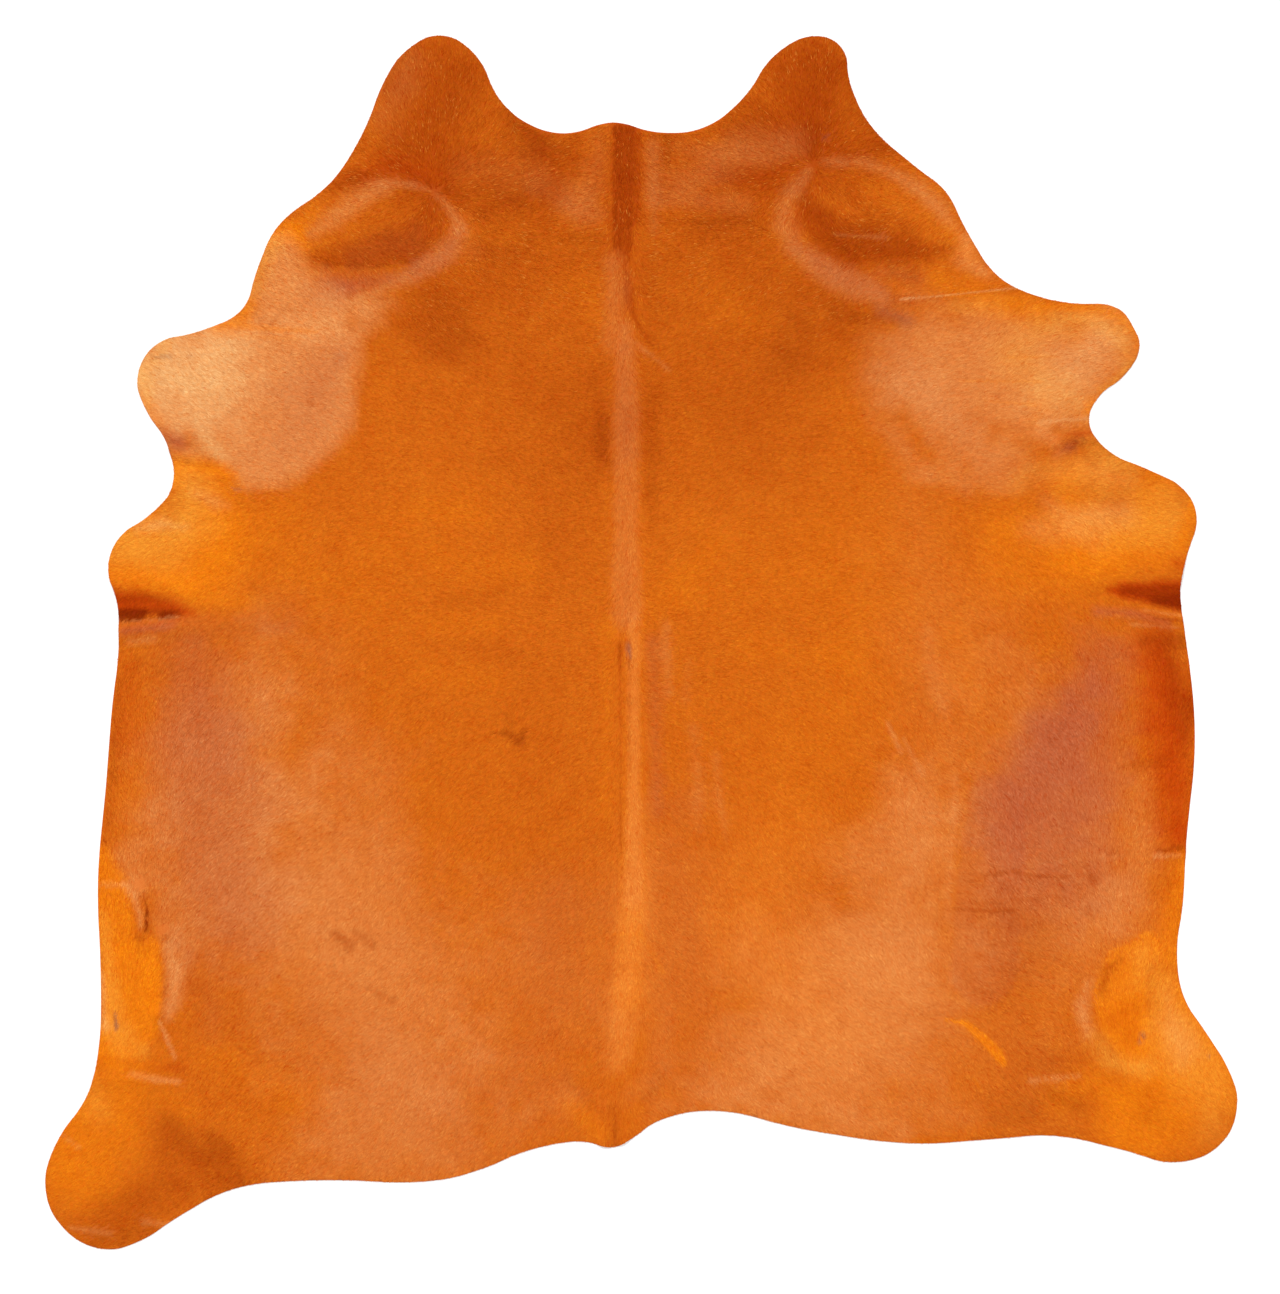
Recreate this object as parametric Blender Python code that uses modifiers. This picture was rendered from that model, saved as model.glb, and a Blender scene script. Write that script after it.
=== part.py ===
"""A cow hide, tanned and dyed with its hair on, laid flat on a floor with the hair side up.

The hide is one cut piece, so it is one solid: a thin sheet trimmed to its outline, with the low
folds that the leather keeps at its flanks, elbows, left thigh, back line and tail. The flesh side
lies on the floor wherever no fold lifts it.

X runs across the hide, to the right with the neck away. Y runs along it, from the tail towards
the neck. Z is up from the floor. The origin is on the floor, in the middle of the hide's box.
"""
import math
from collections import namedtuple

import bmesh
import bpy

# ---- driving dimensions, in metres ----
SHEET_THICKNESS = 0.003   # 1.5 mm of leather under hair that lies flat on it
BOARD_WIDTH = 2.16        # the uncut sheet, a little larger than the hide each way
BOARD_LENGTH = 2.20
WIDE_STEP = 0.11          # mesh step where the hide lies flat
FOLD_STEP = 0.010         # mesh step across a fold
EDGE_STEPS = 3            # straight pieces of cut edge between two outline points
KNIFE_HEIGHT = 0.10       # the outline cutter stands this far above and below the floor
WELD = 0.0001

HAIR_COLOUR = (0.66, 0.15, 0.015, 1.0)
HAIR_ROUGHNESS = 0.6

# ---- the cut edge, clockwise from the left cheek: the places where its line turns ----
EdgePoint = namedtuple("EdgePoint", "place x y")

NECK = (
    EdgePoint("left cheek tip", -0.350, +1.061),
    EdgePoint("left cheek, inner side", -0.290, +1.027),
    EdgePoint("left neck bend", -0.247, +0.949),
    EdgePoint("left neck foot", -0.196, +0.906),
    EdgePoint("left of the nape", -0.131, +0.890),
    EdgePoint("nape", -0.049, +0.909),
    EdgePoint("right of the nape", +0.028, +0.892),
    EdgePoint("right neck foot", +0.109, +0.900),
    EdgePoint("right neck bend", +0.180, +0.953),
    EdgePoint("right cheek, inner side", +0.235, +1.027),
    EdgePoint("right cheek tip", +0.308, +1.060),
    EdgePoint("right cheek corner", +0.352, +1.038),
    EdgePoint("right cheek, outer side", +0.365, +0.980),
)
RIGHT_SHOULDER = (
    EdgePoint("cheek foot", +0.401, +0.905),
    EdgePoint("top of the shoulder", +0.481, +0.831),
    EdgePoint("shoulder crest", +0.532, +0.789),
    EdgePoint("shoulder side", +0.569, +0.721),
    EdgePoint("foot of the shoulder", +0.627, +0.638),
    EdgePoint("before the foreleg", +0.691, +0.606),
    EdgePoint("foreleg top", +0.751, +0.593),
    EdgePoint("foreleg corner", +0.835, +0.583),
    EdgePoint("foreleg front", +0.861, +0.551),
    EdgePoint("foreleg tip", +0.872, +0.516),
    EdgePoint("foreleg back", +0.845, +0.466),
    EdgePoint("above the elbow", +0.801, +0.429),
    EdgePoint("elbow", +0.784, +0.385),
)
RIGHT_FLANK = (
    EdgePoint("behind the elbow", +0.816, +0.336),
    EdgePoint("front of the flank", +0.891, +0.300),
    EdgePoint("flank corner", +0.950, +0.266),
    EdgePoint("flank tip", +0.972, +0.219),
    EdgePoint("flank side", +0.956, +0.154),
    EdgePoint("waist", +0.943, +0.095),
    EdgePoint("below the waist", +0.950, +0.037),
    EdgePoint("belly", +0.969, -0.166),
    EdgePoint("hind flank", +0.954, -0.350),
    EdgePoint("above the thigh", +0.948, -0.457),
    EdgePoint("thigh hollow", +0.938, -0.542),
)
RIGHT_HIND_LEG = (
    EdgePoint("thigh", +0.950, -0.621),
    EdgePoint("outer thigh", +0.989, -0.684),
    EdgePoint("hock", +1.029, -0.751),
    EdgePoint("hind tip", +1.043, -0.807),
    EdgePoint("hind corner", +1.013, -0.879),
    EdgePoint("hind foot", +0.934, -0.910),
    EdgePoint("inner hock", +0.852, -0.891),
    EdgePoint("inner thigh", +0.725, -0.864),
    EdgePoint("buttock", +0.611, -0.870),
    EdgePoint("foot of the buttock", +0.474, -0.877),
)
RUMP = (
    EdgePoint("right rump", +0.278, -0.851),
    EdgePoint("top of the right rump", +0.124, -0.820),
    EdgePoint("beside the tail", +0.026, -0.840),
    EdgePoint("right tail side", -0.018, -0.870),
    EdgePoint("tail tip", -0.049, -0.884),
    EdgePoint("left tail side", -0.102, -0.874),
    EdgePoint("left rump", -0.208, -0.893),
    EdgePoint("foot of the left rump", -0.268, -0.918),
)
LEFT_HIND_LEG = (
    EdgePoint("buttock", -0.352, -0.941),
    EdgePoint("foot of the buttock", -0.579, -0.942),
    EdgePoint("inner thigh", -0.716, -0.958),
    EdgePoint("inner hock", -0.818, -1.011),
    EdgePoint("hind foot, inner side", -0.873, -1.046),
    EdgePoint("hind foot", -0.940, -1.062),
    EdgePoint("hind corner", -1.013, -1.022),
    EdgePoint("hind tip", -1.042, -0.952),
    EdgePoint("hock", -1.024, -0.879),
    EdgePoint("outer thigh", -0.968, -0.791),
    EdgePoint("thigh", -0.949, -0.711),
)
LEFT_FLANK = (
    EdgePoint("thigh hollow", -0.945, -0.600),
    EdgePoint("hind flank", -0.950, -0.416),
    EdgePoint("belly", -0.936, -0.250),
    EdgePoint("behind the waist", -0.925, -0.112),
    EdgePoint("below the waist", -0.914, -0.011),
    EdgePoint("waist", -0.917, +0.073),
    EdgePoint("flank side", -0.932, +0.130),
    EdgePoint("flank tip", -0.913, +0.182),
    EdgePoint("flank corner", -0.859, +0.223),
    EdgePoint("behind the elbow", -0.821, +0.270),
    EdgePoint("elbow", -0.828, +0.343),
)
LEFT_SHOULDER = (
    EdgePoint("above the elbow", -0.868, +0.410),
    EdgePoint("foreleg tip", -0.881, +0.460),
    EdgePoint("foreleg front", -0.851, +0.518),
    EdgePoint("foreleg corner", -0.772, +0.544),
    EdgePoint("foreleg top", -0.698, +0.582),
    EdgePoint("foot of the shoulder", -0.672, +0.650),
    EdgePoint("shoulder side", -0.637, +0.725),
    EdgePoint("shoulder crest", -0.542, +0.805),
    EdgePoint("cheek foot", -0.485, +0.894),
    EdgePoint("left cheek, outer side", -0.446, +0.987),
    EdgePoint("left cheek corner", -0.411, +1.034),
)
CUT_EDGE = (
    NECK + RIGHT_SHOULDER + RIGHT_FLANK + RIGHT_HIND_LEG
    + RUMP + LEFT_HIND_LEG + LEFT_FLANK + LEFT_SHOULDER
)

# ---- the folds: the crest of each runs straight from (x1, y1) to (x2, y2) ----
# lift1 and lift2 are the crest's heights at its two ends. The slope to the left of that
# direction reaches left metres from the crest, and the slope to its right reaches right.
Fold = namedtuple("Fold", "place x1 y1 x2 y2 lift1 lift2 left right")

FOLDS = (
    Fold("left flank swell", -0.935, +0.098, -0.597, +0.091, 0.007, 0.0, 0.040, 0.055),
    Fold("left flank lip", -0.926, +0.022, -0.562, +0.046, 0.006, 0.0, 0.018, 0.035),
    Fold("right flank swell", +0.956, +0.119, +0.716, +0.133, 0.007, 0.0, 0.055, 0.040),
    Fold("right flank lip", +0.957, +0.034, +0.760, +0.066, 0.005, 0.0, 0.035, 0.018),
    Fold("left elbow pucker", -0.842, +0.333, -0.728, +0.315, 0.004, 0.0, 0.018, 0.018),
    Fold("right elbow pucker", +0.800, +0.359, +0.690, +0.340, 0.004, 0.0, 0.018, 0.018),
    Fold("right shoulder line", +0.667, +0.627, +0.441, +0.597, 0.0025, 0.001, 0.018, 0.018),
    Fold("left belly crease", -0.875, -0.439, -0.873, -0.513, 0.003, 0.003, 0.018, 0.018),
    Fold("left thigh edge", -0.833, -0.518, -0.840, -0.653, 0.003, 0.003, 0.018, 0.018),
    Fold("left thigh edge, foot", -0.840, -0.653, -0.810, -0.728, 0.003, 0.0, 0.018, 0.018),
    Fold("left thigh crease", -0.964, -0.763, -0.781, -0.772, 0.004, 0.0, 0.018, 0.022),
    Fold("right belly nick", +0.964, -0.369, +0.900, -0.364, 0.003, 0.0, 0.018, 0.018),
    Fold("back line, front half", -0.021, -0.102, -0.033, +0.546, 0.0015, 0.0, 0.018, 0.022),
    Fold("back line, hind half", -0.021, -0.102, -0.025, -0.767, 0.0015, 0.0, 0.022, 0.018),
    Fold("left of the tail root", -0.064, -0.898, -0.066, -0.793, 0.003, 0.0, 0.018, 0.016),
    Fold("right of the tail root", -0.030, -0.889, -0.025, -0.793, 0.003, 0.0, 0.016, 0.018),
)


def clear_scene():
    """Starts from an empty scene."""
    for thing in list(bpy.data.objects):
        bpy.data.objects.remove(thing, do_unlink=True)


def new_collection(name):
    """A collection under the scene's own."""
    group = bpy.data.collections.new(name)
    bpy.context.scene.collection.children.link(group)
    return group


def smooth_step(share):
    """Goes from 0 to 1 with a level start and finish."""
    share = min(max(share, 0.0), 1.0)
    return share * share * (3.0 - 2.0 * share)


def bell(distance, reach):
    """1 at the crest, 0 at its reach and beyond, level at both."""
    if distance >= reach:
        return 0.0
    return 0.5 + 0.5 * math.cos(math.pi * distance / reach)


def fold_lift(fold, x, y):
    """Height that one fold gives the sheet at a point."""
    run_x, run_y = fold.x2 - fold.x1, fold.y2 - fold.y1
    length = math.hypot(run_x, run_y)
    along = ((x - fold.x1) * run_x + (y - fold.y1) * run_y) / length
    aside = ((y - fold.y1) * run_x - (x - fold.x1) * run_y) / length
    past_end = max(-along, along - length, 0.0)
    crest = fold.lift1 + (fold.lift2 - fold.lift1) * smooth_step(along / length)
    reach = fold.left if aside > 0.0 else fold.right
    return crest * bell(abs(aside), reach) * bell(past_end, max(fold.left, fold.right))


def sheet_height(x, y):
    """Height of the flesh side over the floor: the folds' lifts together."""
    return sum(fold_lift(fold, x, y) for fold in FOLDS)


def fold_bands(runs_across):
    """Stretches of Y (or of X) that the folds running across (or along) the hide take up."""
    bands = []
    for fold in FOLDS:
        across = abs(fold.x2 - fold.x1) > abs(fold.y2 - fold.y1)
        if across != runs_across:
            continue
        ends = (fold.y1, fold.y2) if across else (fold.x1, fold.x2)
        reach = max(fold.left, fold.right)
        bands.append((min(ends) - reach, max(ends) + reach))
    return bands


def mesh_lines(size, bands):
    """Places of the mesh lines over a size: close together inside the bands, wide elsewhere."""
    places = [-size / 2.0]
    while places[-1] < size / 2.0:
        here = places[-1]
        if any(low <= here < high for low, high in bands):
            places.append(here + FOLD_STEP)
            continue
        starts_ahead = [low for low, high in bands if low > here]
        places.append(min(starts_ahead + [here + WIDE_STEP]))
    return places


def make_hair_leather():
    """The dyed hair side, as one plain material."""
    material = bpy.data.materials.new("dyed_hair_leather")
    material.use_nodes = True
    shader = material.node_tree.nodes["Principled BSDF"]
    shader.inputs["Base Color"].default_value = HAIR_COLOUR
    shader.inputs["Roughness"].default_value = HAIR_ROUGHNESS
    shader.inputs["Metallic"].default_value = 0.0
    return material


def make_outline_knife(group):
    """A tall closed solid on the cut edge. It trims the sheet and isn't part of the object."""
    curve = bpy.data.curves.new("cut_edge", "CURVE")
    curve.dimensions = "2D"
    curve.fill_mode = "BOTH"
    curve.extrude = KNIFE_HEIGHT
    curve.resolution_u = EDGE_STEPS
    spline = curve.splines.new("BEZIER")
    spline.bezier_points.add(len(CUT_EDGE) - 1)
    spline.use_cyclic_u = True
    for point, place in zip(spline.bezier_points, CUT_EDGE):
        point.co = (place.x, place.y, 0.0)
        point.handle_left_type = "AUTO"
        point.handle_right_type = "AUTO"
    line = bpy.data.objects.new("cut_edge", curve)
    group.objects.link(line)
    evaluated = line.evaluated_get(bpy.context.evaluated_depsgraph_get())
    mesh = bpy.data.meshes.new_from_object(evaluated)
    bpy.data.objects.remove(line, do_unlink=True)

    shape = bmesh.new()
    shape.from_mesh(mesh)
    bmesh.ops.remove_doubles(shape, verts=shape.verts, dist=WELD)
    bmesh.ops.recalc_face_normals(shape, faces=shape.faces)
    shape.to_mesh(mesh)
    shape.free()
    knife = bpy.data.objects.new("outline_knife", mesh)
    knife.hide_render = True
    knife.display_type = "WIRE"
    group.objects.link(knife)
    return knife


def make_hide(group, knife):
    """The sheet: a board of mesh raised along the folds, thickened and trimmed to the edge."""
    lines_x = mesh_lines(BOARD_WIDTH, fold_bands(runs_across=False))
    lines_y = mesh_lines(BOARD_LENGTH, fold_bands(runs_across=True))
    steps_x, steps_y = len(lines_x) - 1, len(lines_y) - 1
    board = bmesh.new()
    bmesh.ops.create_grid(board, x_segments=steps_x, y_segments=steps_y, size=1.0)
    for vert in board.verts:
        x = lines_x[round((vert.co.x + 1.0) / 2.0 * steps_x)]
        y = lines_y[round((vert.co.y + 1.0) / 2.0 * steps_y)]
        vert.co = (x, y, sheet_height(x, y))
    mesh = bpy.data.meshes.new("hide")
    board.to_mesh(mesh)
    board.free()
    mesh.shade_smooth()
    mesh.materials.append(make_hair_leather())

    hide = bpy.data.objects.new("hide", mesh)
    group.objects.link(hide)
    thicken = hide.modifiers.new("thickness", "SOLIDIFY")
    thicken.thickness = SHEET_THICKNESS
    thicken.offset = 1.0
    trim = hide.modifiers.new("trim", "BOOLEAN")
    trim.operation = "INTERSECT"
    trim.solver = "EXACT"
    trim.object = knife
    return hide


def main():
    clear_scene()
    parts = new_collection("cow_hide")
    cutters = new_collection("cutters")
    make_hide(parts, make_outline_knife(cutters))


main()
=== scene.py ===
# %% [markdown]
# # A dyed cow hide with its hair on
#
# The real thing is one skin: leather about 1.6 mm thick, cut round its edge with a knife, with the
# short hair still on it. The dye colours hair and skin together, and the hair lies flat, so the
# colour that shows is mostly the direction and depth of the coat.
#
# The solid from the CAD step gives the outline, the folds and the place on the floor. This script
# makes what is seen: a thin skin on that shape, and a coat of real hair tufts on the skin.

# %% Load the fixed frame
import math
from collections import namedtuple

import bmesh
import bpy
import numpy as np
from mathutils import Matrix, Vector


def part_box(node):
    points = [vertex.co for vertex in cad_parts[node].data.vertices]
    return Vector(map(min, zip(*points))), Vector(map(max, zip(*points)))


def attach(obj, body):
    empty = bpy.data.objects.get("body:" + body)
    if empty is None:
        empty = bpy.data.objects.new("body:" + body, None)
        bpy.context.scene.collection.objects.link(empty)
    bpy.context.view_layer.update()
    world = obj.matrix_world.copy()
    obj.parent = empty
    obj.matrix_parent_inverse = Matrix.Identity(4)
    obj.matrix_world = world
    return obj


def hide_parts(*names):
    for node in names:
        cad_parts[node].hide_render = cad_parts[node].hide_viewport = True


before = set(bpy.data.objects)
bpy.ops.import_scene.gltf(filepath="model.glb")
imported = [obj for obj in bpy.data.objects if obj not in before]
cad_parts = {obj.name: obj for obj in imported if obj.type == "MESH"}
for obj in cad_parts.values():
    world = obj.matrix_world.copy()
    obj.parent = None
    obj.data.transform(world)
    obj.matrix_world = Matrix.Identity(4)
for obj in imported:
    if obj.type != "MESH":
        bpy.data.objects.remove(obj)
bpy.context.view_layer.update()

hide_low, hide_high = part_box("hide")
print("hide from", tuple(hide_low), "to", tuple(hide_high))

# %% [markdown]
# ## The outline
#
# A hide is cut to its outline, so the outline comes first. It could be drawn again as a curve,
# but the CAD solid already has it. A copy of the solid is merged, because a CAD mesh is loose
# triangles, and only its hair side is kept. The one loop of edges round that is the cut. A knife
# follows it in a smooth line, so a curve is drawn through its corners.

# %% Copy the hair side of the solid and flatten it
WELD = 0.00002            # corners nearer than this are one corner
FACING_UP = 0.5           # the hair side's normals have at least this height

pattern = bmesh.new()
pattern.from_mesh(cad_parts["hide"].data)
bmesh.ops.remove_doubles(pattern, verts=pattern.verts, dist=WELD)
pattern.normal_update()
not_hair_side = [f for f in pattern.faces if f.normal.z < FACING_UP]
bmesh.ops.delete(pattern, geom=not_hair_side, context="FACES")
for corner in pattern.verts:
    corner.co.z = 0.0
print("pattern:", len(pattern.faces), "faces")


# %% Walk round the cut edge
def walk_round(flat_mesh):
    """The corners of the outline in order, as an array of x and y."""
    start = next(v for v in flat_mesh.verts if v.is_boundary)
    loop, came_by, here = [], None, start
    while not loop or here != start:
        loop.append(here.co.xy[:])
        came_by = next(e for e in here.link_edges if e.is_boundary and e != came_by)
        here = came_by.other_vert(here)
    return np.array(loop)


# %% Draw a smooth curve through the corners
STRAIGHT = 0.00001        # a corner that is nearer than this to the line past it is dropped
CURVE_STEPS = 3           # pieces of curve between two corners


def worth_keeping(corners):
    """The corners at which the outline turns."""
    behind, ahead = np.roll(corners, 1, axis=0), np.roll(corners, -1, axis=0)
    across, here = ahead - behind, corners - behind
    off_line = np.abs(across[:, 0] * here[:, 1] - across[:, 1] * here[:, 0])
    return corners[off_line > STRAIGHT * np.hypot(*across.T)]


def rounded(corners, steps):
    """A smooth closed curve through the corners."""
    ahead = np.roll(corners, -1, axis=0)
    gap = np.hypot(*(ahead - corners).T)[:, None]
    slope = (ahead - corners) / gap
    gap_behind, slope_behind = np.roll(gap, 1, axis=0), np.roll(slope, 1, axis=0)
    way = (gap * slope_behind + gap_behind * slope) / (gap + gap_behind)
    way_ahead = np.roll(way, -1, axis=0)
    points = []
    for t in np.arange(steps) / steps:
        share = 3 * t**2 - 2 * t**3
        bend = (t**3 - 2 * t**2 + t) * way + (t**3 - t**2) * way_ahead
        points.append(corners * (1 - share) + ahead * share + gap * bend)
    return np.stack(points, axis=1).reshape(-1, 2)


corners = worth_keeping(walk_round(pattern))
outline = rounded(corners, CURVE_STEPS)
print("outline:", len(corners), "corners,", len(outline), "points on the curve")

# %% [markdown]
# ## How far a place is from the cut
#
# Hair near the cut is shorter on a real hide, because the knife takes the tips, so every tuft has
# to know how far it is from the outline. Measuring that for hundreds of thousands of hairs is
# slow. It is measured once on a chart, a grid of points a few millimetres apart, and read between
# them.

# %% A chart that can be read at any place
CHART_STEP = 0.004
CHART_MARGIN = 0.02       # how far the chart reaches past the hide on every side
LAST_SQUARE = 1.001       # places past the chart are read just inside its last square


def read_chart(chart, x, y):
    """The chart's value at each place, blended between the four nearest grid points."""
    u = np.clip((x - CHART_X[0]) / CHART_STEP, 0, len(CHART_X) - LAST_SQUARE)
    v = np.clip((y - CHART_Y[0]) / CHART_STEP, 0, len(CHART_Y) - LAST_SQUARE)
    i, j = u.astype(int), v.astype(int)
    s, t = u - i, v - j
    low = chart[i, j] * (1 - s) + chart[i + 1, j] * s
    high = chart[i, j + 1] * (1 - s) + chart[i + 1, j + 1] * s
    return low * (1 - t) + high * t


CHART_X = np.arange(hide_low.x - CHART_MARGIN, hide_high.x + CHART_MARGIN, CHART_STEP)
CHART_Y = np.arange(hide_low.y - CHART_MARGIN, hide_high.y + CHART_MARGIN, CHART_STEP)


# %% Chart the distance to the cut
def depth_inside(x, y):
    """Metres from each place to the outline, positive inside the hide and negative outside."""
    nearest = np.full(len(x), np.inf)
    inside = np.zeros(len(x), bool)
    for (x1, y1), (x2, y2) in zip(outline, np.roll(outline, -1, axis=0)):
        run_x, run_y = x2 - x1, y2 - y1
        along = ((x - x1) * run_x + (y - y1) * run_y) / (run_x**2 + run_y**2)
        along = np.clip(along, 0.0, 1.0)
        away = (x - x1 - along * run_x) ** 2 + (y - y1 - along * run_y) ** 2
        nearest = np.minimum(nearest, away)
        if y1 != y2:
            inside ^= ((y1 > y) != (y2 > y)) & (x < x1 + (y - y1) * run_x / run_y)
    return np.where(inside, 1.0, -1.0) * np.sqrt(nearest)


grid_x, grid_y = np.meshgrid(CHART_X, CHART_Y, indexing="ij")
depth_chart = depth_inside(grid_x.ravel(), grid_y.ravel()).reshape(grid_x.shape)

# %% [markdown]
# ## The folds
#
# Leather that has hung over a rail keeps low ridges where it was bent. Each one is a crest line
# with a smooth bell of height on either side, in the same places as on the solid. A cloth
# simulation would flatten them, so they are written down: where the crest runs, how high it is
# at each end, and how far it reaches to its left and right.

# %% Fold table
Fold = namedtuple("Fold", "place x1 y1 x2 y2 lift1 lift2 left right")
FOLDS = (
    Fold("left flank swell", -0.935, +0.098, -0.597, +0.091, 0.007, 0.0, 0.040, 0.055),
    Fold("left flank lip", -0.926, +0.022, -0.562, +0.046, 0.006, 0.0, 0.018, 0.035),
    Fold("right flank swell", +0.956, +0.119, +0.716, +0.133, 0.007, 0.0, 0.055, 0.040),
    Fold("right flank lip", +0.957, +0.034, +0.760, +0.066, 0.005, 0.0, 0.035, 0.018),
    Fold("left elbow pucker", -0.842, +0.333, -0.728, +0.315, 0.004, 0.0, 0.018, 0.018),
    Fold("right elbow pucker", +0.800, +0.359, +0.690, +0.340, 0.004, 0.0, 0.018, 0.018),
    Fold("right shoulder line", +0.667, +0.627, +0.441, +0.597, 0.0025, 0.001, 0.018, 0.018),
    Fold("left belly crease", -0.875, -0.439, -0.873, -0.513, 0.003, 0.003, 0.018, 0.018),
    Fold("left thigh edge", -0.833, -0.518, -0.840, -0.653, 0.003, 0.003, 0.018, 0.018),
    Fold("left thigh edge, foot", -0.840, -0.653, -0.810, -0.728, 0.003, 0.0, 0.018, 0.018),
    Fold("left thigh crease", -0.964, -0.763, -0.781, -0.772, 0.004, 0.0, 0.018, 0.022),
    Fold("right belly nick", +0.964, -0.369, +0.900, -0.364, 0.003, 0.0, 0.018, 0.018),
    Fold("back line, front half", -0.021, -0.102, -0.033, +0.546, 0.0015, 0.0, 0.018, 0.022),
    Fold("back line, hind half", -0.021, -0.102, -0.025, -0.767, 0.0015, 0.0, 0.022, 0.018),
    Fold("left of the tail root", -0.064, -0.898, -0.066, -0.793, 0.003, 0.0, 0.018, 0.016),
    Fold("right of the tail root", -0.030, -0.889, -0.025, -0.793, 0.003, 0.0, 0.016, 0.018),
)


# %% Height of the flesh side above the floor
def smooth_step(s):
    """0 below 0, 1 above 1, and a smooth S between."""
    s = np.clip(s, 0.0, 1.0)
    return s * s * (3.0 - 2.0 * s)


def bell(distance, reach):
    """1 on a fold's crest, falling smoothly to 0 at its reach."""
    return 0.5 + 0.5 * np.cos(np.pi * np.clip(distance / reach, 0.0, 1.0))


def crest(fold):
    """A fold's length, and which way its crest runs, as a unit vector."""
    length = math.hypot(fold.x2 - fold.x1, fold.y2 - fold.y1)
    return length, (fold.x2 - fold.x1) / length, (fold.y2 - fold.y1) / length


def fold_height(fold, x, y):
    """How far one fold lifts the hide at each place."""
    length, ahead_x, ahead_y = crest(fold)
    along = (x - fold.x1) * ahead_x + (y - fold.y1) * ahead_y
    aside = (y - fold.y1) * ahead_x - (x - fold.x1) * ahead_y
    past_end = np.maximum(np.maximum(-along, along - length), 0.0)
    lift = fold.lift1 + (fold.lift2 - fold.lift1) * smooth_step(along / length)
    reach = np.where(aside > 0.0, fold.left, fold.right)
    return lift * bell(np.abs(aside), reach) * bell(past_end, max(fold.left, fold.right))


def sheet_height(x, y):
    """Height of the flesh side above the floor at each place, in metres."""
    return sum(fold_height(fold, x, y) for fold in FOLDS)


print("highest fold:", round(float(sheet_height(grid_x, grid_y).max()) * 1000, 1), "mm")

# %% [markdown]
# ## Natural unevenness
#
# Dye never dries evenly, and no tone on a hide has a drawn edge. A soft noise that can be read at
# any place makes edges ragged and turns the hair a little. Blender has noise functions, but they
# take one point at a time; a lattice of random values blended smoothly does a million at once.

# %% Smooth random clouds
LATTICE = 64              # random values along each side of the lattice, which then repeats


def cloudy(x, y, size, seed):
    """Smooth random values from -1 to 1 whose clouds are about `size` metres across."""
    lattice = np.random.default_rng(seed).uniform(-1.0, 1.0, (LATTICE, LATTICE))
    u, v = x / size, y / size
    i, j = np.floor(u).astype(int), np.floor(v).astype(int)
    s, t = smooth_step(u - i), smooth_step(v - j)
    i, j = i % LATTICE, j % LATTICE
    k, l = (i + 1) % LATTICE, (j + 1) % LATTICE
    near = lattice[i, j] + s * (lattice[k, j] - lattice[i, j])
    far = lattice[i, l] + s * (lattice[k, l] - lattice[i, l])
    return near + t * (far - near)


# %% [markdown]
# ## The dye, with painted sheen and shade, as soft brush strokes
#
# One dye colours the whole hide, darker on the thick neck and brighter on the thin skin of the
# legs, and the coat's sheen makes it look deep where the hair lies towards the eye and pale where
# it turns away. A noise can't know that, so the tones are painted with a soft brush: most pale
# and deep tones are painted sheen from the lay of the hair, and along the folds and creases the
# strokes are painted shade and painted highlights. A stroke is a chain of round spots laid over
# the ones before it. Large tones come first and single marks last. Each row says where the stroke
# is, its colour, its strength in percent, how wide its soft edge is, and the x, y and radius of
# each spot, in millimetres.

# %% Colours of the dye, and of the painted sheen and shade
COLOURS_OF_DYE_SHEEN_AND_SHADE = {
    "cognac": (214, 102, 19),     # what the whole hide is dyed with
    # chestnut, umber and rust are deeper dye, and also the painted shade in the folds and creases
    "chestnut": (178, 68, 6),
    "umber": (130, 32, 1),
    "rust": (196, 60, 4),
    "amber": (247, 130, 12),
    # apricot and honey are mostly painted sheen, and the painted highlights on the folds' lips and
    # ridges
    "apricot": (240, 154, 88),
    "honey": (253, 196, 130),
    "straw": (255, 172, 62),
    # mauve is a greyish painted sheen, and the painted shade under the fold lips
    "mauve": (186, 88, 58),
    "smoke": (140, 80, 70),
}
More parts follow.
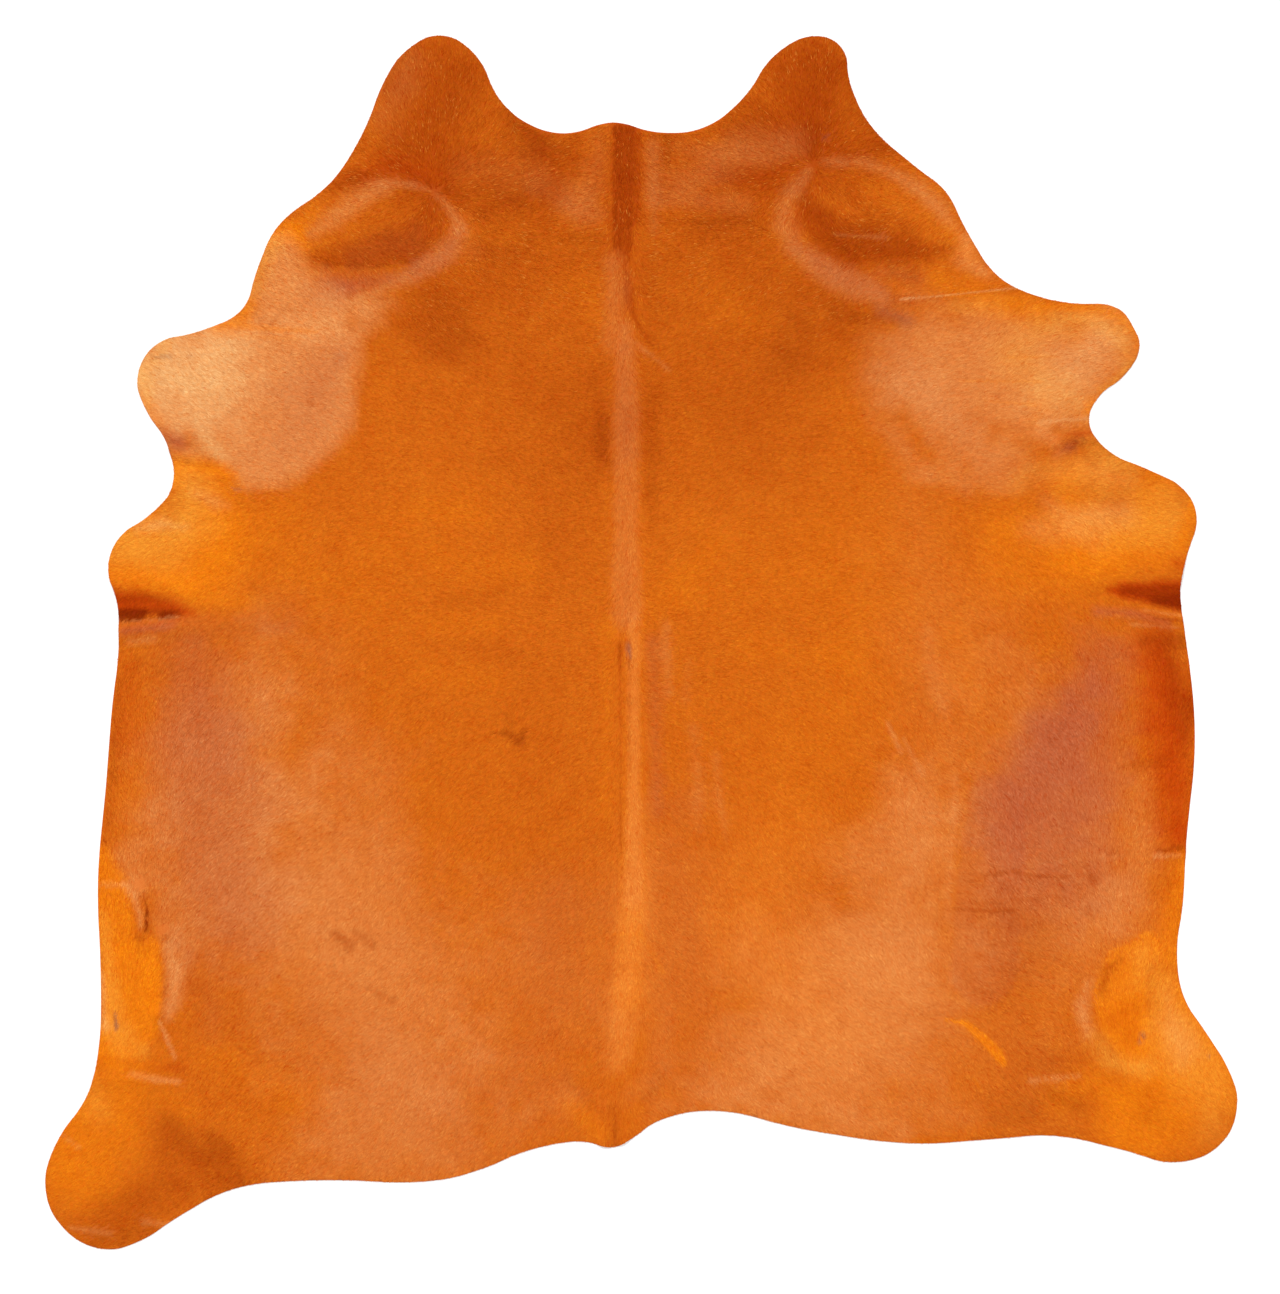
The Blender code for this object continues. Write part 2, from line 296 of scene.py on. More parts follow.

# %% Strokes of the broad tones
# Most of these broad pale and deep tones are painted sheen from the lay of the hair, over the dye.
BROAD = (
    ("left cheek", "chestnut", 75, 160, ((-360, 1000, 100), (-380, 880, 100))),
    ("right cheek", "chestnut", 90, 160, ((300, 1000, 90), (300, 880, 80), (400, 860, 50))),
    ("neck", "chestnut", 55, 200, ((-340, 800, 80), (-100, 840, 80), (250, 820, 100))),
    ("withers", "chestnut", 45, 220,
        ((-420, 620, 70), (-150, 680, 100), (150, 680, 100), (340, 600, 90))),
    ("front of the back", "chestnut", 34, 220,
        ((-350, 500, 60), (-150, 450, 120), (180, 450, 120), (300, 520, 50))),
    ("middle of the back, left", "chestnut", 28, 180, ((-110, 400, 50), (-140, 180, 40))),
    ("middle of the back", "chestnut", 14, 100, ((0, 420, 30), (0, 260, 30))),
    ("middle of the back, right", "chestnut", 12, 180, ((80, 350, 50), (250, 320, 80))),
    ("behind the right shoulder", "chestnut", 10, 100, ((420, 440, 20), (440, 360, 20))),
    ("over the ribs", "amber", 14, 250, ((-500, 120, 100), (-350, 180, 60))),
    ("over the ribs, right", "amber", 14, 250, ((120, 100, 60), (450, 120, 120), (300, -150, 100))),
    ("ribs, right, pale", "apricot", 10, 200, ((480, 240, 30), (520, 50, 50), (500, -180, 50))),
    ("ribs, left, pale", "apricot", 12, 180, ((-550, -20, 30), (-540, -200, 40))),
    ("hind quarters", "apricot", 10, 300,
        ((-800, -300, 50), (-350, -620, 100), (200, -500, 150), (600, -700, 100))),
    ("side, left", "amber", 38, 180, ((-640, 200, 50), (-760, 120, 50))),
    ("side, right", "amber", 40, 180, ((660, 190, 60), (820, 140, 50))),
    ("loin", "chestnut", 14, 160, ((-180, -80, 50), (-160, -360, 60), (-100, -450, 30))),
    ("rump, left", "mauve", 12, 200, ((-140, -480, 40), (-180, -780, 70))),
    ("rump, left, brown", "chestnut", 3, 180, ((-140, -500, 40), (-180, -760, 60))),
    ("rump, right", "mauve", 14, 140, ((60, -300, 30), (100, -600, 50), (80, -750, 50))),
    ("along the hind line, warm", "amber", 22, 80, ((0, -260, 12), (0, -500, 16), (-30, -700, 20))),
    ("along the hind line, pale", "apricot", 12, 80,
        ((0, -280, 12), (0, -500, 16), (-50, -700, 20))),
    ("rump, left, lower pale", "apricot", 16, 120, ((-280, -700, 30), (-220, -760, 30))),
    ("left hind quarter", "apricot", 33, 300,
        ((-560, -300, 70), (-500, -550, 160), (-420, -850, 100))),
    ("right hind quarter", "apricot", 44, 260,
        ((500, -300, 40), (470, -420, 60), (440, -540, 100), (330, -680, 140), (180, -780, 80))),
    ("right hind quarter, warmth", "amber", 22, 200,
        ((240, -340, 60), (180, -500, 80), (320, -660, 80))),
    ("right hind quarter, outer side", "apricot", 20, 120, ((545, -180, 20), (545, -300, 30))),
    ("hind edge, pale", "apricot", 26, 60, ((120, -785, 10), (300, -825, 15), (450, -855, 15))),
    ("beside the tail, pale", "apricot", 16, 80, ((50, -660, 15), (40, -730, 15))),
    ("thin pale streak", "apricot", 30, 10, ((290, -445, 1), (370, -440, 1))),
    ("left hind quarter, shade", "mauve", 10, 200, ((-520, -750, 80), (-340, -800, 100))),
    ("left hind quarter, tail side", "apricot", 14, 120, ((-620, -900, 30), (-300, -720, 40))),
    ("left ribs, bright", "amber", 18, 60, ((-400, 230, 15), (-280, 210, 20))),
    ("left ribs, second bright", "amber", 16, 60, ((-360, 150, 20), (-200, 130, 20))),
    ("left ribs, shade", "chestnut", 22, 50, ((-300, 315, 10), (-220, 315, 12))),
    ("left ribs, cross shade", "chestnut", 22, 40, ((-360, 70, 6), (-280, 72, 8), (-240, 88, 4))),
    ("left ribs, low bright", "amber", 16, 50, ((-370, 30, 12), (-260, 30, 10))),
    ("left ribs, low shade", "chestnut", 12, 40, ((-320, -10, 8), (-220, -20, 10))),
    ("left loin, bright", "amber", 14, 60, ((-380, -60, 20), (-260, -70, 15))),
    ("right ribs, bright", "amber", 18, 60, ((50, 80, 20), (120, 170, 20), (90, 200, 10))),
    ("right ribs, second bright", "amber", 15, 60, ((200, -10, 20), (360, -30, 20))),
    ("right ribs, small shade", "chestnut", 12, 40, ((200, 40, 10), (240, 35, 6))),
    ("right ribs, upper shade", "chestnut", 20, 60, ((300, 360, 20), (370, 370, 15))),
    ("right flank, warm", "amber", 16, 60, ((560, 10, 20), (590, -100, 20))),
    ("left belly", "apricot", 34, 200, ((-660, 0, 30), (-720, -180, 80), (-700, -450, 100))),
    ("left belly, bloom", "mauve", 38, 160,
        ((-780, 0, 40), (-770, -180, 80), (-740, -400, 100), (-720, -500, 70))),
    ("left belly, deep bloom", "mauve", 20, 120,
        ((-780, -50, 20), (-760, -140, 40), (-720, -240, 30))),
    ("left belly, warm spots", "apricot", 20, 60, ((-660, -80, 15), (-640, -180, 15))),
    ("left belly, low warm spot", "apricot", 18, 60, ((-660, -340, 20), (-650, -400, 15))),
    ("right belly", "apricot", 25, 200, ((650, -60, 40), (720, -250, 100), (740, -500, 100))),
    ("right belly, bloom", "mauve", 60, 160,
        ((790, -40, 40), (760, -150, 80), (700, -280, 90), (720, -420, 70))),
    ("right belly, deep bloom", "mauve", 42, 120,
        ((760, -100, 40), (710, -200, 50), (660, -310, 30))),
    ("right belly, outer bloom", "mauve", 30, 100,
        ((830, -40, 20), (810, -200, 40), (780, -340, 30))),
    ("thigh, left", "chestnut", 16, 140, ((-780, -600, 20), (-680, -680, 40), (-580, -660, 20))),
    ("thigh, right", "chestnut", 24, 140, ((640, -700, 20), (660, -800, 40), (760, -780, 30))),
    ("thigh, right, lower pale", "apricot", 20, 80, ((470, -800, 20), (550, -830, 20))),
)

# %% Strokes of the neck
# The pale bands and turned hair on the neck are painted sheen where the hair turns towards the
# light.
NECK = (
    ("left cheek, core", "umber", 16, 80, ((-310, 990, 20), (-330, 940, 20), (-400, 880, 20))),
    ("left cheek, outer edge", "apricot", 12, 80, ((-400, 1020, 10), (-450, 920, 20))),
    ("right cheek, core", "umber", 16, 90, ((300, 1000, 30), (310, 900, 20))),
    ("right cheek, inner side", "umber", 14, 60, ((370, 930, 12), (420, 870, 12))),
    ("above the left whorl", "rust", 42, 50, ((-530, 812, 6), (-440, 832, 16), (-375, 814, 8))),
    ("above the left whorl, deeper", "umber", 15, 40,
        ((-500, 815, 6), (-440, 828, 12), (-375, 810, 8))),
    ("beside the left whorl", "umber", 30, 35, ((-535, 795, 8), (-500, 812, 12))),
    ("above the right whorl", "umber", 34, 35, ((302, 895, 6), (303, 845, 8))),
    ("left neck, turned hair", "apricot", 5, 60, ((-300, 830, 20), (-200, 820, 30))),
    ("left neck, pale band", "apricot", 8, 35, ((-175, 800, 22), (-120, 775, 30), (-85, 750, 22))),
    ("left neck, mauve in the band", "mauve", 8, 40, ((-160, 790, 14), (-90, 740, 14))),
    ("left neck, border below the band", "umber", 20, 20,
        ((-200, 710, 6), (-130, 703, 8), (-70, 706, 6))),
    ("left neck, dark beside the band", "umber", 16, 35, ((-240, 785, 18), (-200, 765, 14))),
    ("left neck, dark above the band", "umber", 18, 30, ((-185, 865, 12), (-115, 855, 12))),
    ("left neck, shade", "umber", 14, 60, ((-280, 770, 20), (-180, 760, 10))),
    ("right of the left whorl", "umber", 16, 60,
        ((-275, 750, 20), (-260, 690, 30), (-200, 690, 10))),
    ("left neck, front shade", "umber", 26, 60,
        ((-120, 885, 10), (-170, 885, 15), (-220, 910, 10))),
    ("left neck, deeper", "chestnut", 50, 80, ((-210, 910, 20), (-140, 830, 20), (-200, 720, 20))),
    ("left neck, deep front", "umber", 16, 60, ((-220, 900, 20), (-180, 860, 20))),
    ("right neck, deeper", "chestnut", 50, 80, ((100, 820, 20), (100, 720, 20))),
    ("right neck, front shade", "umber", 14, 60, ((200, 910, 12), (160, 885, 10))),
    ("left of the strip", "apricot", 12, 50, ((-75, 880, 10), (-85, 820, 15), (-110, 760, 30))),
    ("left of the strip, front", "umber", 15, 30, ((-70, 895, 8), (-66, 872, 8))),
    ("left of the strip, mauve", "mauve", 10, 30, ((-72, 840, 10), (-72, 790, 10))),
    ("right of the strip, front", "umber", 14, 30, ((20, 885, 8), (22, 862, 8))),
    ("right neck, turned hair", "apricot", 16, 60, ((260, 870, 15), (170, 860, 20), (80, 800, 30))),
    ("right neck, pale band", "apricot", 9, 30, ((20, 770, 12), (100, 768, 16), (180, 766, 14))),
    ("right neck, mauve in the band", "mauve", 6, 35, ((30, 775, 10), (150, 775, 10))),
    ("right neck, upper pale band", "apricot", 6, 30,
        ((65, 862, 10), (160, 852, 12), (245, 842, 6))),
    ("right neck, border below the band", "umber", 22, 20,
        ((20, 738, 6), (100, 735, 8), (190, 733, 6))),
    ("right neck, dark beside the strip", "umber", 24, 20, ((45, 885, 8), (45, 845, 8))),
    ("right of the strip", "apricot", 20, 30, ((22, 870, 6), (24, 720, 6))),
    ("beside the right whorl", "rust", 20, 40, ((140, 820, 8), (200, 810, 18), (260, 830, 6))),
    ("beside the right whorl, deeper", "umber", 20, 40,
        ((140, 820, 8), (200, 810, 14), (260, 830, 6))),
    ("behind the right neck", "umber", 16, 60, ((100, 730, 20), (200, 720, 10))),
    ("bare neck, left", "amber", 8, 50, ((-270, 710, 10), (-180, 700, 10), (-100, 710, 10))),
    ("withers, bright", "amber", 18, 100, ((-100, 620, 30), (-80, 580, 20))),
    ("withers, bright right", "amber", 15, 100, ((140, 600, 30), (200, 560, 20))),
    ("behind the left whorl", "umber", 20, 100, ((-360, 580, 20), (-330, 530, 30))),
    ("behind the left whorl, outer", "chestnut", 25, 60, ((-460, 585, 12), (-420, 555, 16))),
    ("behind the right whorl", "umber", 20, 80, ((280, 580, 20), (260, 500, 30))),
    ("under the right whorl", "umber", 30, 30, ((340, 575, 8), (420, 562, 6), (460, 560, 3))),
)

# %% Strokes of the whorls
# Around each whorl the hair turns full circle, so these are mostly painted sheen: the rims, fans
# and blooms are painted highlights where the turning hair catches the light, and the dark patches
# are painted shade where it turns away.
WHORL_TONES = (
    ("left, fan", "amber", 3, 50, ((-550, 715, 10), (-460, 755, 20), (-400, 765, 10))),
    ("left, fan shade", "chestnut", 14, 50, ((-480, 745, 20), (-420, 765, 20))),
    ("left, patch", "chestnut", 66, 26,
        ((-570, 672, 10), (-490, 684, 26), (-410, 694, 36), (-370, 735, 30), (-365, 765, 14))),
    ("left, deep patch", "umber", 18, 50, ((-500, 675, 14), (-410, 690, 26), (-375, 735, 16))),
    ("left, grey in the patch", "mauve", 8, 50, ((-500, 675, 20), (-400, 700, 30))),
    ("left, patch edge", "umber", 30, 14,
        ((-550, 662, 3), (-470, 658, 5), (-420, 662, 4), (-385, 672, 3))),
    ("left, outside the upper rim", "amber", 35, 30, ((-600, 730, 10), (-570, 757, 6))),
    ("left, upper rim", "apricot", 34, 32,
        ((-580, 713, 3), (-548, 734, 9), (-512, 762, 14), (-478, 782, 12), (-450, 794, 8))),
    ("left, end of the upper rim", "apricot", 24, 14,
        ((-470, 800, 4), (-435, 803, 7), (-395, 799, 4), (-366, 790, 1))),
    ("left, centre", "umber", 50, 10, ((-372, 805, 3), (-361, 786, 2))),
    ("left, dark right of the centre", "umber", 22, 16,
        ((-352, 800, 3), (-315, 782, 4), (-285, 776, 2))),
    ("left, under the centre", "umber", 20, 16, ((-360, 772, 2), (-348, 745, 5), (-350, 715, 4))),
    ("left, inner rim", "apricot", 26, 18,
        ((-363, 784, 1), (-345, 770, 4), (-325, 745, 8), (-315, 720, 11))),
    ("left, inner rim below", "apricot", 32, 26,
        ((-318, 710, 13), (-335, 688, 15), (-373, 660, 14), (-409, 638, 13), (-453, 618, 13),
         (-500, 597, 12))),
    ("left, outside the rim", "amber", 12, 30, ((-300, 725, 6), (-295, 690, 8))),
    ("left, bloom outside", "apricot", 10, 50, ((-310, 740, 6), (-300, 690, 12))),
    ("left, bloom below", "apricot", 38, 50, ((-490, 585, 16), (-440, 595, 10))),
    ("left, inner bloom", "mauve", 30, 26,
        ((-322, 712, 10), (-338, 686, 14), (-378, 655, 14), (-440, 634, 12), (-520, 618, 10))),
    ("left, below", "mauve", 32, 35, ((-560, 640, 6), (-520, 630, 14), (-450, 640, 8))),
    ("left, brown below", "mauve", 30, 30, ((-555, 622, 12), (-505, 618, 12))),
    ("left, outer end", "amber", 80, 35, ((-650, 712, 10), (-610, 715, 14), (-590, 695, 4))),
    ("right, fan", "amber", 10, 50, ((370, 810, 10), (430, 780, 12))),
    ("right, fan shade", "chestnut", 32, 50, ((320, 800, 12), (370, 775, 18), (450, 735, 16))),
    ("right, shade below", "mauve", 30, 40, ((420, 648, 10), (490, 635, 12))),
    ("right, patch", "chestnut", 82, 35,
        ((285, 765, 12), (305, 735, 34), (360, 700, 40), (440, 690, 28), (500, 682, 18),
         (555, 693, 4))),
    ("right, deep patch", "umber", 18, 50,
        ((290, 775, 14), (320, 735, 26), (350, 705, 28), (400, 690, 22), (480, 684, 12))),
    ("right, core of the patch", "umber", 16, 20,
        ((310, 770, 4), (312, 735, 8), (345, 700, 8), (375, 672, 6))),
    ("right, streak", "apricot", 20, 10, ((340, 713, 2), (430, 708, 2))),
    ("right, grey flecks", "smoke", 25, 8, ((320, 881, 3), (328, 888, 3))),
    ("right, inner rim", "apricot", 28, 30,
        ((296, 830, 1), (270, 795, 9), (250, 760, 13), (248, 725, 14), (268, 690, 16),
         (305, 660, 17), (360, 630, 18), (420, 606, 14))),
    ("right, inner bloom", "mauve", 30, 35,
        ((262, 750, 6), (280, 690, 12), (340, 645, 16), (430, 608, 16))),
    ("right, upper rim", "apricot", 34, 30,
        ((320, 840, 2), (390, 840, 5), (440, 822, 9), (490, 790, 10), (525, 755, 9),
         (562, 712, 4))),
    ("right, outer end", "apricot", 50, 35, ((570, 700, 12), (570, 668, 20), (605, 645, 12))),
    ("right, glow of the outer end", "amber", 35, 40, ((545, 720, 10), (575, 670, 18))),
    ("right, under the end", "amber", 32, 40, ((510, 640, 10), (600, 635, 12))),
    ("right, bloom below", "apricot", 22, 50, ((470, 610, 10), (530, 590, 18), (620, 595, 10))),
    ("right, mauve below", "mauve", 25, 40, ((460, 600, 8), (520, 600, 6))),
    ("right, straw below", "straw", 28, 40, ((550, 588, 12), (630, 598, 12))),
    ("right, shade below the patch", "umber", 28, 30, ((478, 641, 10), (440, 645, 8))),
)

# %% Strokes of the shoulders and forelegs
# The pale apricot and honey patches of the shoulders are mostly painted sheen where the hair lies
# towards the light, and the elbow shade and shine strokes are painted shade and painted highlights
# at the elbow puckers.
SHOULDERS = (
    ("left", "apricot", 60, 45,
        ((-800, 450, 80), (-680, 450, 100), (-570, 495, 75), (-600, 420, 95), (-650, 360, 88))),
    ("left, muted", "mauve", 22, 120, ((-550, 500, 30), (-580, 420, 50), (-630, 340, 40))),
    ("left, back corner", "apricot", 38, 40,
        ((-550, 575, 30), (-500, 580, 22), (-465, 568, 18), (-500, 545, 16))),
    ("left, step", "cognac", 45, 20, ((-512, 352, 14), (-516, 335, 12))),
    ("left, second step", "cognac", 45, 20, ((-545, 305, 12), (-550, 285, 12))),
    # Painted shade in a small crease.
    ("left, curved crease", "chestnut", 22, 14, ((-770, 384, 2), (-717, 400, 3), (-690, 427, 2))),
    ("left, low corner", "apricot", 26, 20, ((-690, 272, 8), (-620, 272, 8))),
    ("left, neck side", "apricot", 60, 50, ((-635, 665, 35), (-625, 610, 55), (-575, 580, 50))),
    ("left, muted corner", "mauve", 20, 60, ((-575, 610, 20), (-530, 600, 12))),
    ("left, pale leg", "honey", 54, 290, ((-880, 480, 50), (-790, 450, 50))),
    ("left, palest", "honey", 30, 150, ((-830, 515, 35), (-770, 495, 40))),
    ("left, upper pale", "apricot", 35, 60, ((-830, 515, 10), (-770, 520, 20))),
    ("left, rim of the leg", "straw", 28, 30, ((-830, 525, 4), (-872, 475, 10), (-865, 420, 8))),
    ("left, lower rim of the leg", "amber", 38, 30,
        ((-867, 420, 6), (-845, 385, 6), (-830, 370, 3))),
    ("left, rim of the neck", "straw", 30, 40, ((-650, 690, 16), (-675, 630, 16), (-700, 585, 6))),
    ("left, foot of the neck", "amber", 62, 35, ((-685, 590, 6), (-700, 565, 10), (-740, 552, 6))),
    ("left, upper streak", "amber", 45, 12, ((-740, 557, 3), (-660, 549, 3), (-570, 543, 1))),
    ("left, lower streak", "amber", 25, 12, ((-720, 537, 2), (-600, 530, 1))),
    ("left, shadow of the crease", "chestnut", 25, 12, ((-650, 555, 1), (-610, 600, 1))),
    ("left, mauve in the middle", "mauve", 10, 50,
        ((-530, 500, 10), (-540, 440, 10), (-660, 440, 10))),
    ("left, grey spot", "smoke", 12, 20, ((-525, 495, 8),)),
    ("left, mark", "smoke", 35, 10, ((-852, 499, 3), (-825, 500, 3))),
    ("left, small mark", "smoke", 35, 8, ((-790, 502, 3),)),
    ("left elbow, shade", "umber", 35, 20, ((-825, 352, 4), (-795, 346, 3))),
    ("left elbow, bloom", "mauve", 48, 30, ((-835, 366, 5), (-810, 350, 10))),
    ("left elbow, red", "rust", 20, 30, ((-830, 360, 4), (-800, 345, 8))),
    ("left elbow, straw", "straw", 12, 50, ((-760, 345, 12), (-740, 320, 10))),
    ("left elbow, pale side", "honey", 40, 30, ((-772, 378, 10), (-752, 346, 10), (-735, 325, 6))),
    ("left elbow, bright", "amber", 82, 30,
        ((-815, 285, 14), (-810, 308, 14), (-740, 300, 10), (-720, 290, 6))),
    ("left elbow, dot", "umber", 50, 6, ((-793, 315, 3),)),
    ("left, low dot", "smoke", 60, 6, ((-710, 267, 3), (-704, 266, 3))),
    ("left foreleg", "amber", 60, 80,
        ((-860, 200, 30), (-870, 150, 60), (-780, 140, 60), (-760, 240, 50))),
    ("left foreleg, straw", "straw", 44, 80,
        ((-900, 170, 30), (-840, 170, 40), (-790, 225, 32), (-790, 270, 20))),
    ("left foreleg, pale", "honey", 22, 30, ((-880, 200, 4), (-840, 205, 8), (-800, 200, 2))),
    ("left foreleg, crinkles", "apricot", 34, 30, ((-780, 258, 4), (-745, 243, 8), (-725, 238, 2))),
    ("left foreleg, thin crinkle", "chestnut", 30, 6, ((-785, 248, 1), (-740, 252, 1))),
    ("left foreleg, low glow", "amber", 50, 50, ((-780, 70, 15), (-700, 70, 15))),
    ("left foreleg, above the fold", "amber", 45, 40,
        ((-930, 120, 12), (-860, 113, 10), (-790, 98, 10))),
    ("right", "apricot", 48, 100,
        ((820, 530, 60), (740, 480, 90), (660, 460, 100), (540, 480, 90), (480, 460, 40))),
    ("right, low", "apricot", 38, 90, ((500, 420, 40), (570, 340, 40), (640, 310, 40))),
    ("right, crisp side", "apricot", 8, 60,
        ((490, 530, 30), (490, 460, 35), (530, 370, 45), (600, 310, 50))),
    ("right, muted", "mauve", 12, 120, ((460, 500, 30), (520, 420, 40), (600, 320, 30))),
    ("right, soft side", "apricot", 30, 90,
        ((420, 530, 4), (405, 460, 10), (420, 380, 10), (490, 310, 12))),
    ("right, brown in the side", "chestnut", 6, 80,
        ((400, 420, 15), (480, 385, 15), (510, 300, 10))),
    ("right, soft corner", "apricot", 14, 50, ((450, 365, 10), (470, 340, 10))),
    ("right, below", "apricot", 22, 80, ((580, 270, 10), (700, 290, 10))),
    ("right, inner corner below", "apricot", 34, 60, ((490, 300, 12), (560, 275, 15))),
    ("right, top", "amber", 55, 50, ((540, 615, 12), (600, 605, 20), (700, 580, 18))),
    ("right, tip of the leg", "straw", 34, 50,
        ((700, 570, 10), (780, 565, 18), (840, 545, 20), (850, 500, 12))),
    ("right, palest", "honey", 26, 120, ((800, 530, 20), (760, 490, 30), (720, 440, 30))),
    ("right, outer apricot", "apricot", 34, 100, ((830, 500, 20), (760, 460, 30), (710, 410, 20))),
    ("right, straw", "straw", 22, 100, ((660, 500, 30), (720, 440, 30), (760, 420, 20))),
    ("right, rim of the leg", "amber", 60, 22,
        ((700, 589, 6), (780, 586, 10), (835, 572, 10), (865, 540, 6), (870, 510, 3))),
    ("right, lower rim of the leg", "straw", 34, 22, ((862, 490, 5), (835, 463, 6), (808, 440, 8))),
    ("right, straw above", "straw", 24, 50, ((700, 545, 15), (760, 540, 12))),
    ("right, foot of the leg", "amber", 55, 20, ((790, 424, 6), (782, 404, 6))),
    # A painted highlight along the right shoulder fold.
    ("right, ridge", "honey", 40, 6, ((455, 600, 1.5), (520, 605, 1.5), (660, 620, 1.5))),
    ("right, thin streak", "amber", 40, 8, ((560, 457, 1), (700, 456, 2))),
    ("right, second streak", "amber", 35, 10, ((600, 422, 1), (690, 416, 3))),
    ("right, third streak", "amber", 30, 10, ((640, 498, 1), (730, 500, 2))),
    ("right, grey corner", "smoke", 35, 30, ((420, 580, 6), (470, 565, 6))),
    ("right elbow, shade", "umber", 50, 26, ((764, 356, 6), (752, 342, 9))),
    ("right elbow, bloom", "mauve", 50, 30, ((748, 340, 8), (726, 326, 3))),
    ("right elbow, thin shade", "rust", 60, 12, ((745, 363, 1), (785, 366, 2))),
    ("right hand, glow", "amber", 26, 60, ((770, 570, 14), (762, 530, 14))),
    ("right hand, low glow", "amber", 26, 50, ((702, 415, 12), (690, 385, 8))),
    ("right elbow, pale side", "apricot", 30, 30, ((700, 368, 12), (722, 350, 8))),
    ("right elbow, shine", "honey", 40, 12, ((700, 385, 2), (780, 392, 2))),
    ("right elbow, bright", "straw", 16, 50, ((740, 305, 12), (800, 295, 18))),
    ("right elbow, glow", "amber", 50, 50, ((760, 300, 12), (830, 285, 12))),
    ("right elbow, pale glow", "apricot", 22, 60, ((735, 300, 20), (800, 297, 16), (850, 280, 8))),
    ("right elbow, straw glow", "straw", 20, 50, ((745, 303, 12), (800, 296, 12))),
    ("right foreleg", "amber", 50, 80,
        ((900, 250, 40), (900, 180, 50), (780, 160, 50), (740, 280, 30))),
    ("right foreleg, straw", "straw", 32, 80, ((740, 220, 10), (820, 200, 30), (920, 220, 40))),
    ("right foreleg, pale", "apricot", 32, 50, ((710, 245, 12), (750, 220, 14), (840, 225, 18))),
    ("right foreleg, between", "straw", 24, 50, ((735, 265, 12), (800, 262, 16), (855, 268, 12))),
    ("right foreleg, upper glow", "straw", 34, 50, ((795, 330, 10), (850, 312, 14))),
    ("right foreleg, inner glow", "straw", 26, 50, ((705, 305, 12), (660, 282, 14))),
    ("right foreleg, inner", "apricot", 24, 60, ((690, 200, 15), (735, 195, 15), (790, 190, 10))),
    ("right foreleg, edge", "amber", 70, 30, ((965, 240, 6), (960, 200, 10), (945, 170, 8))),
    ("right foreleg, mark", "rust", 60, 22, ((935, 140, 4), (950, 132, 8))),
)

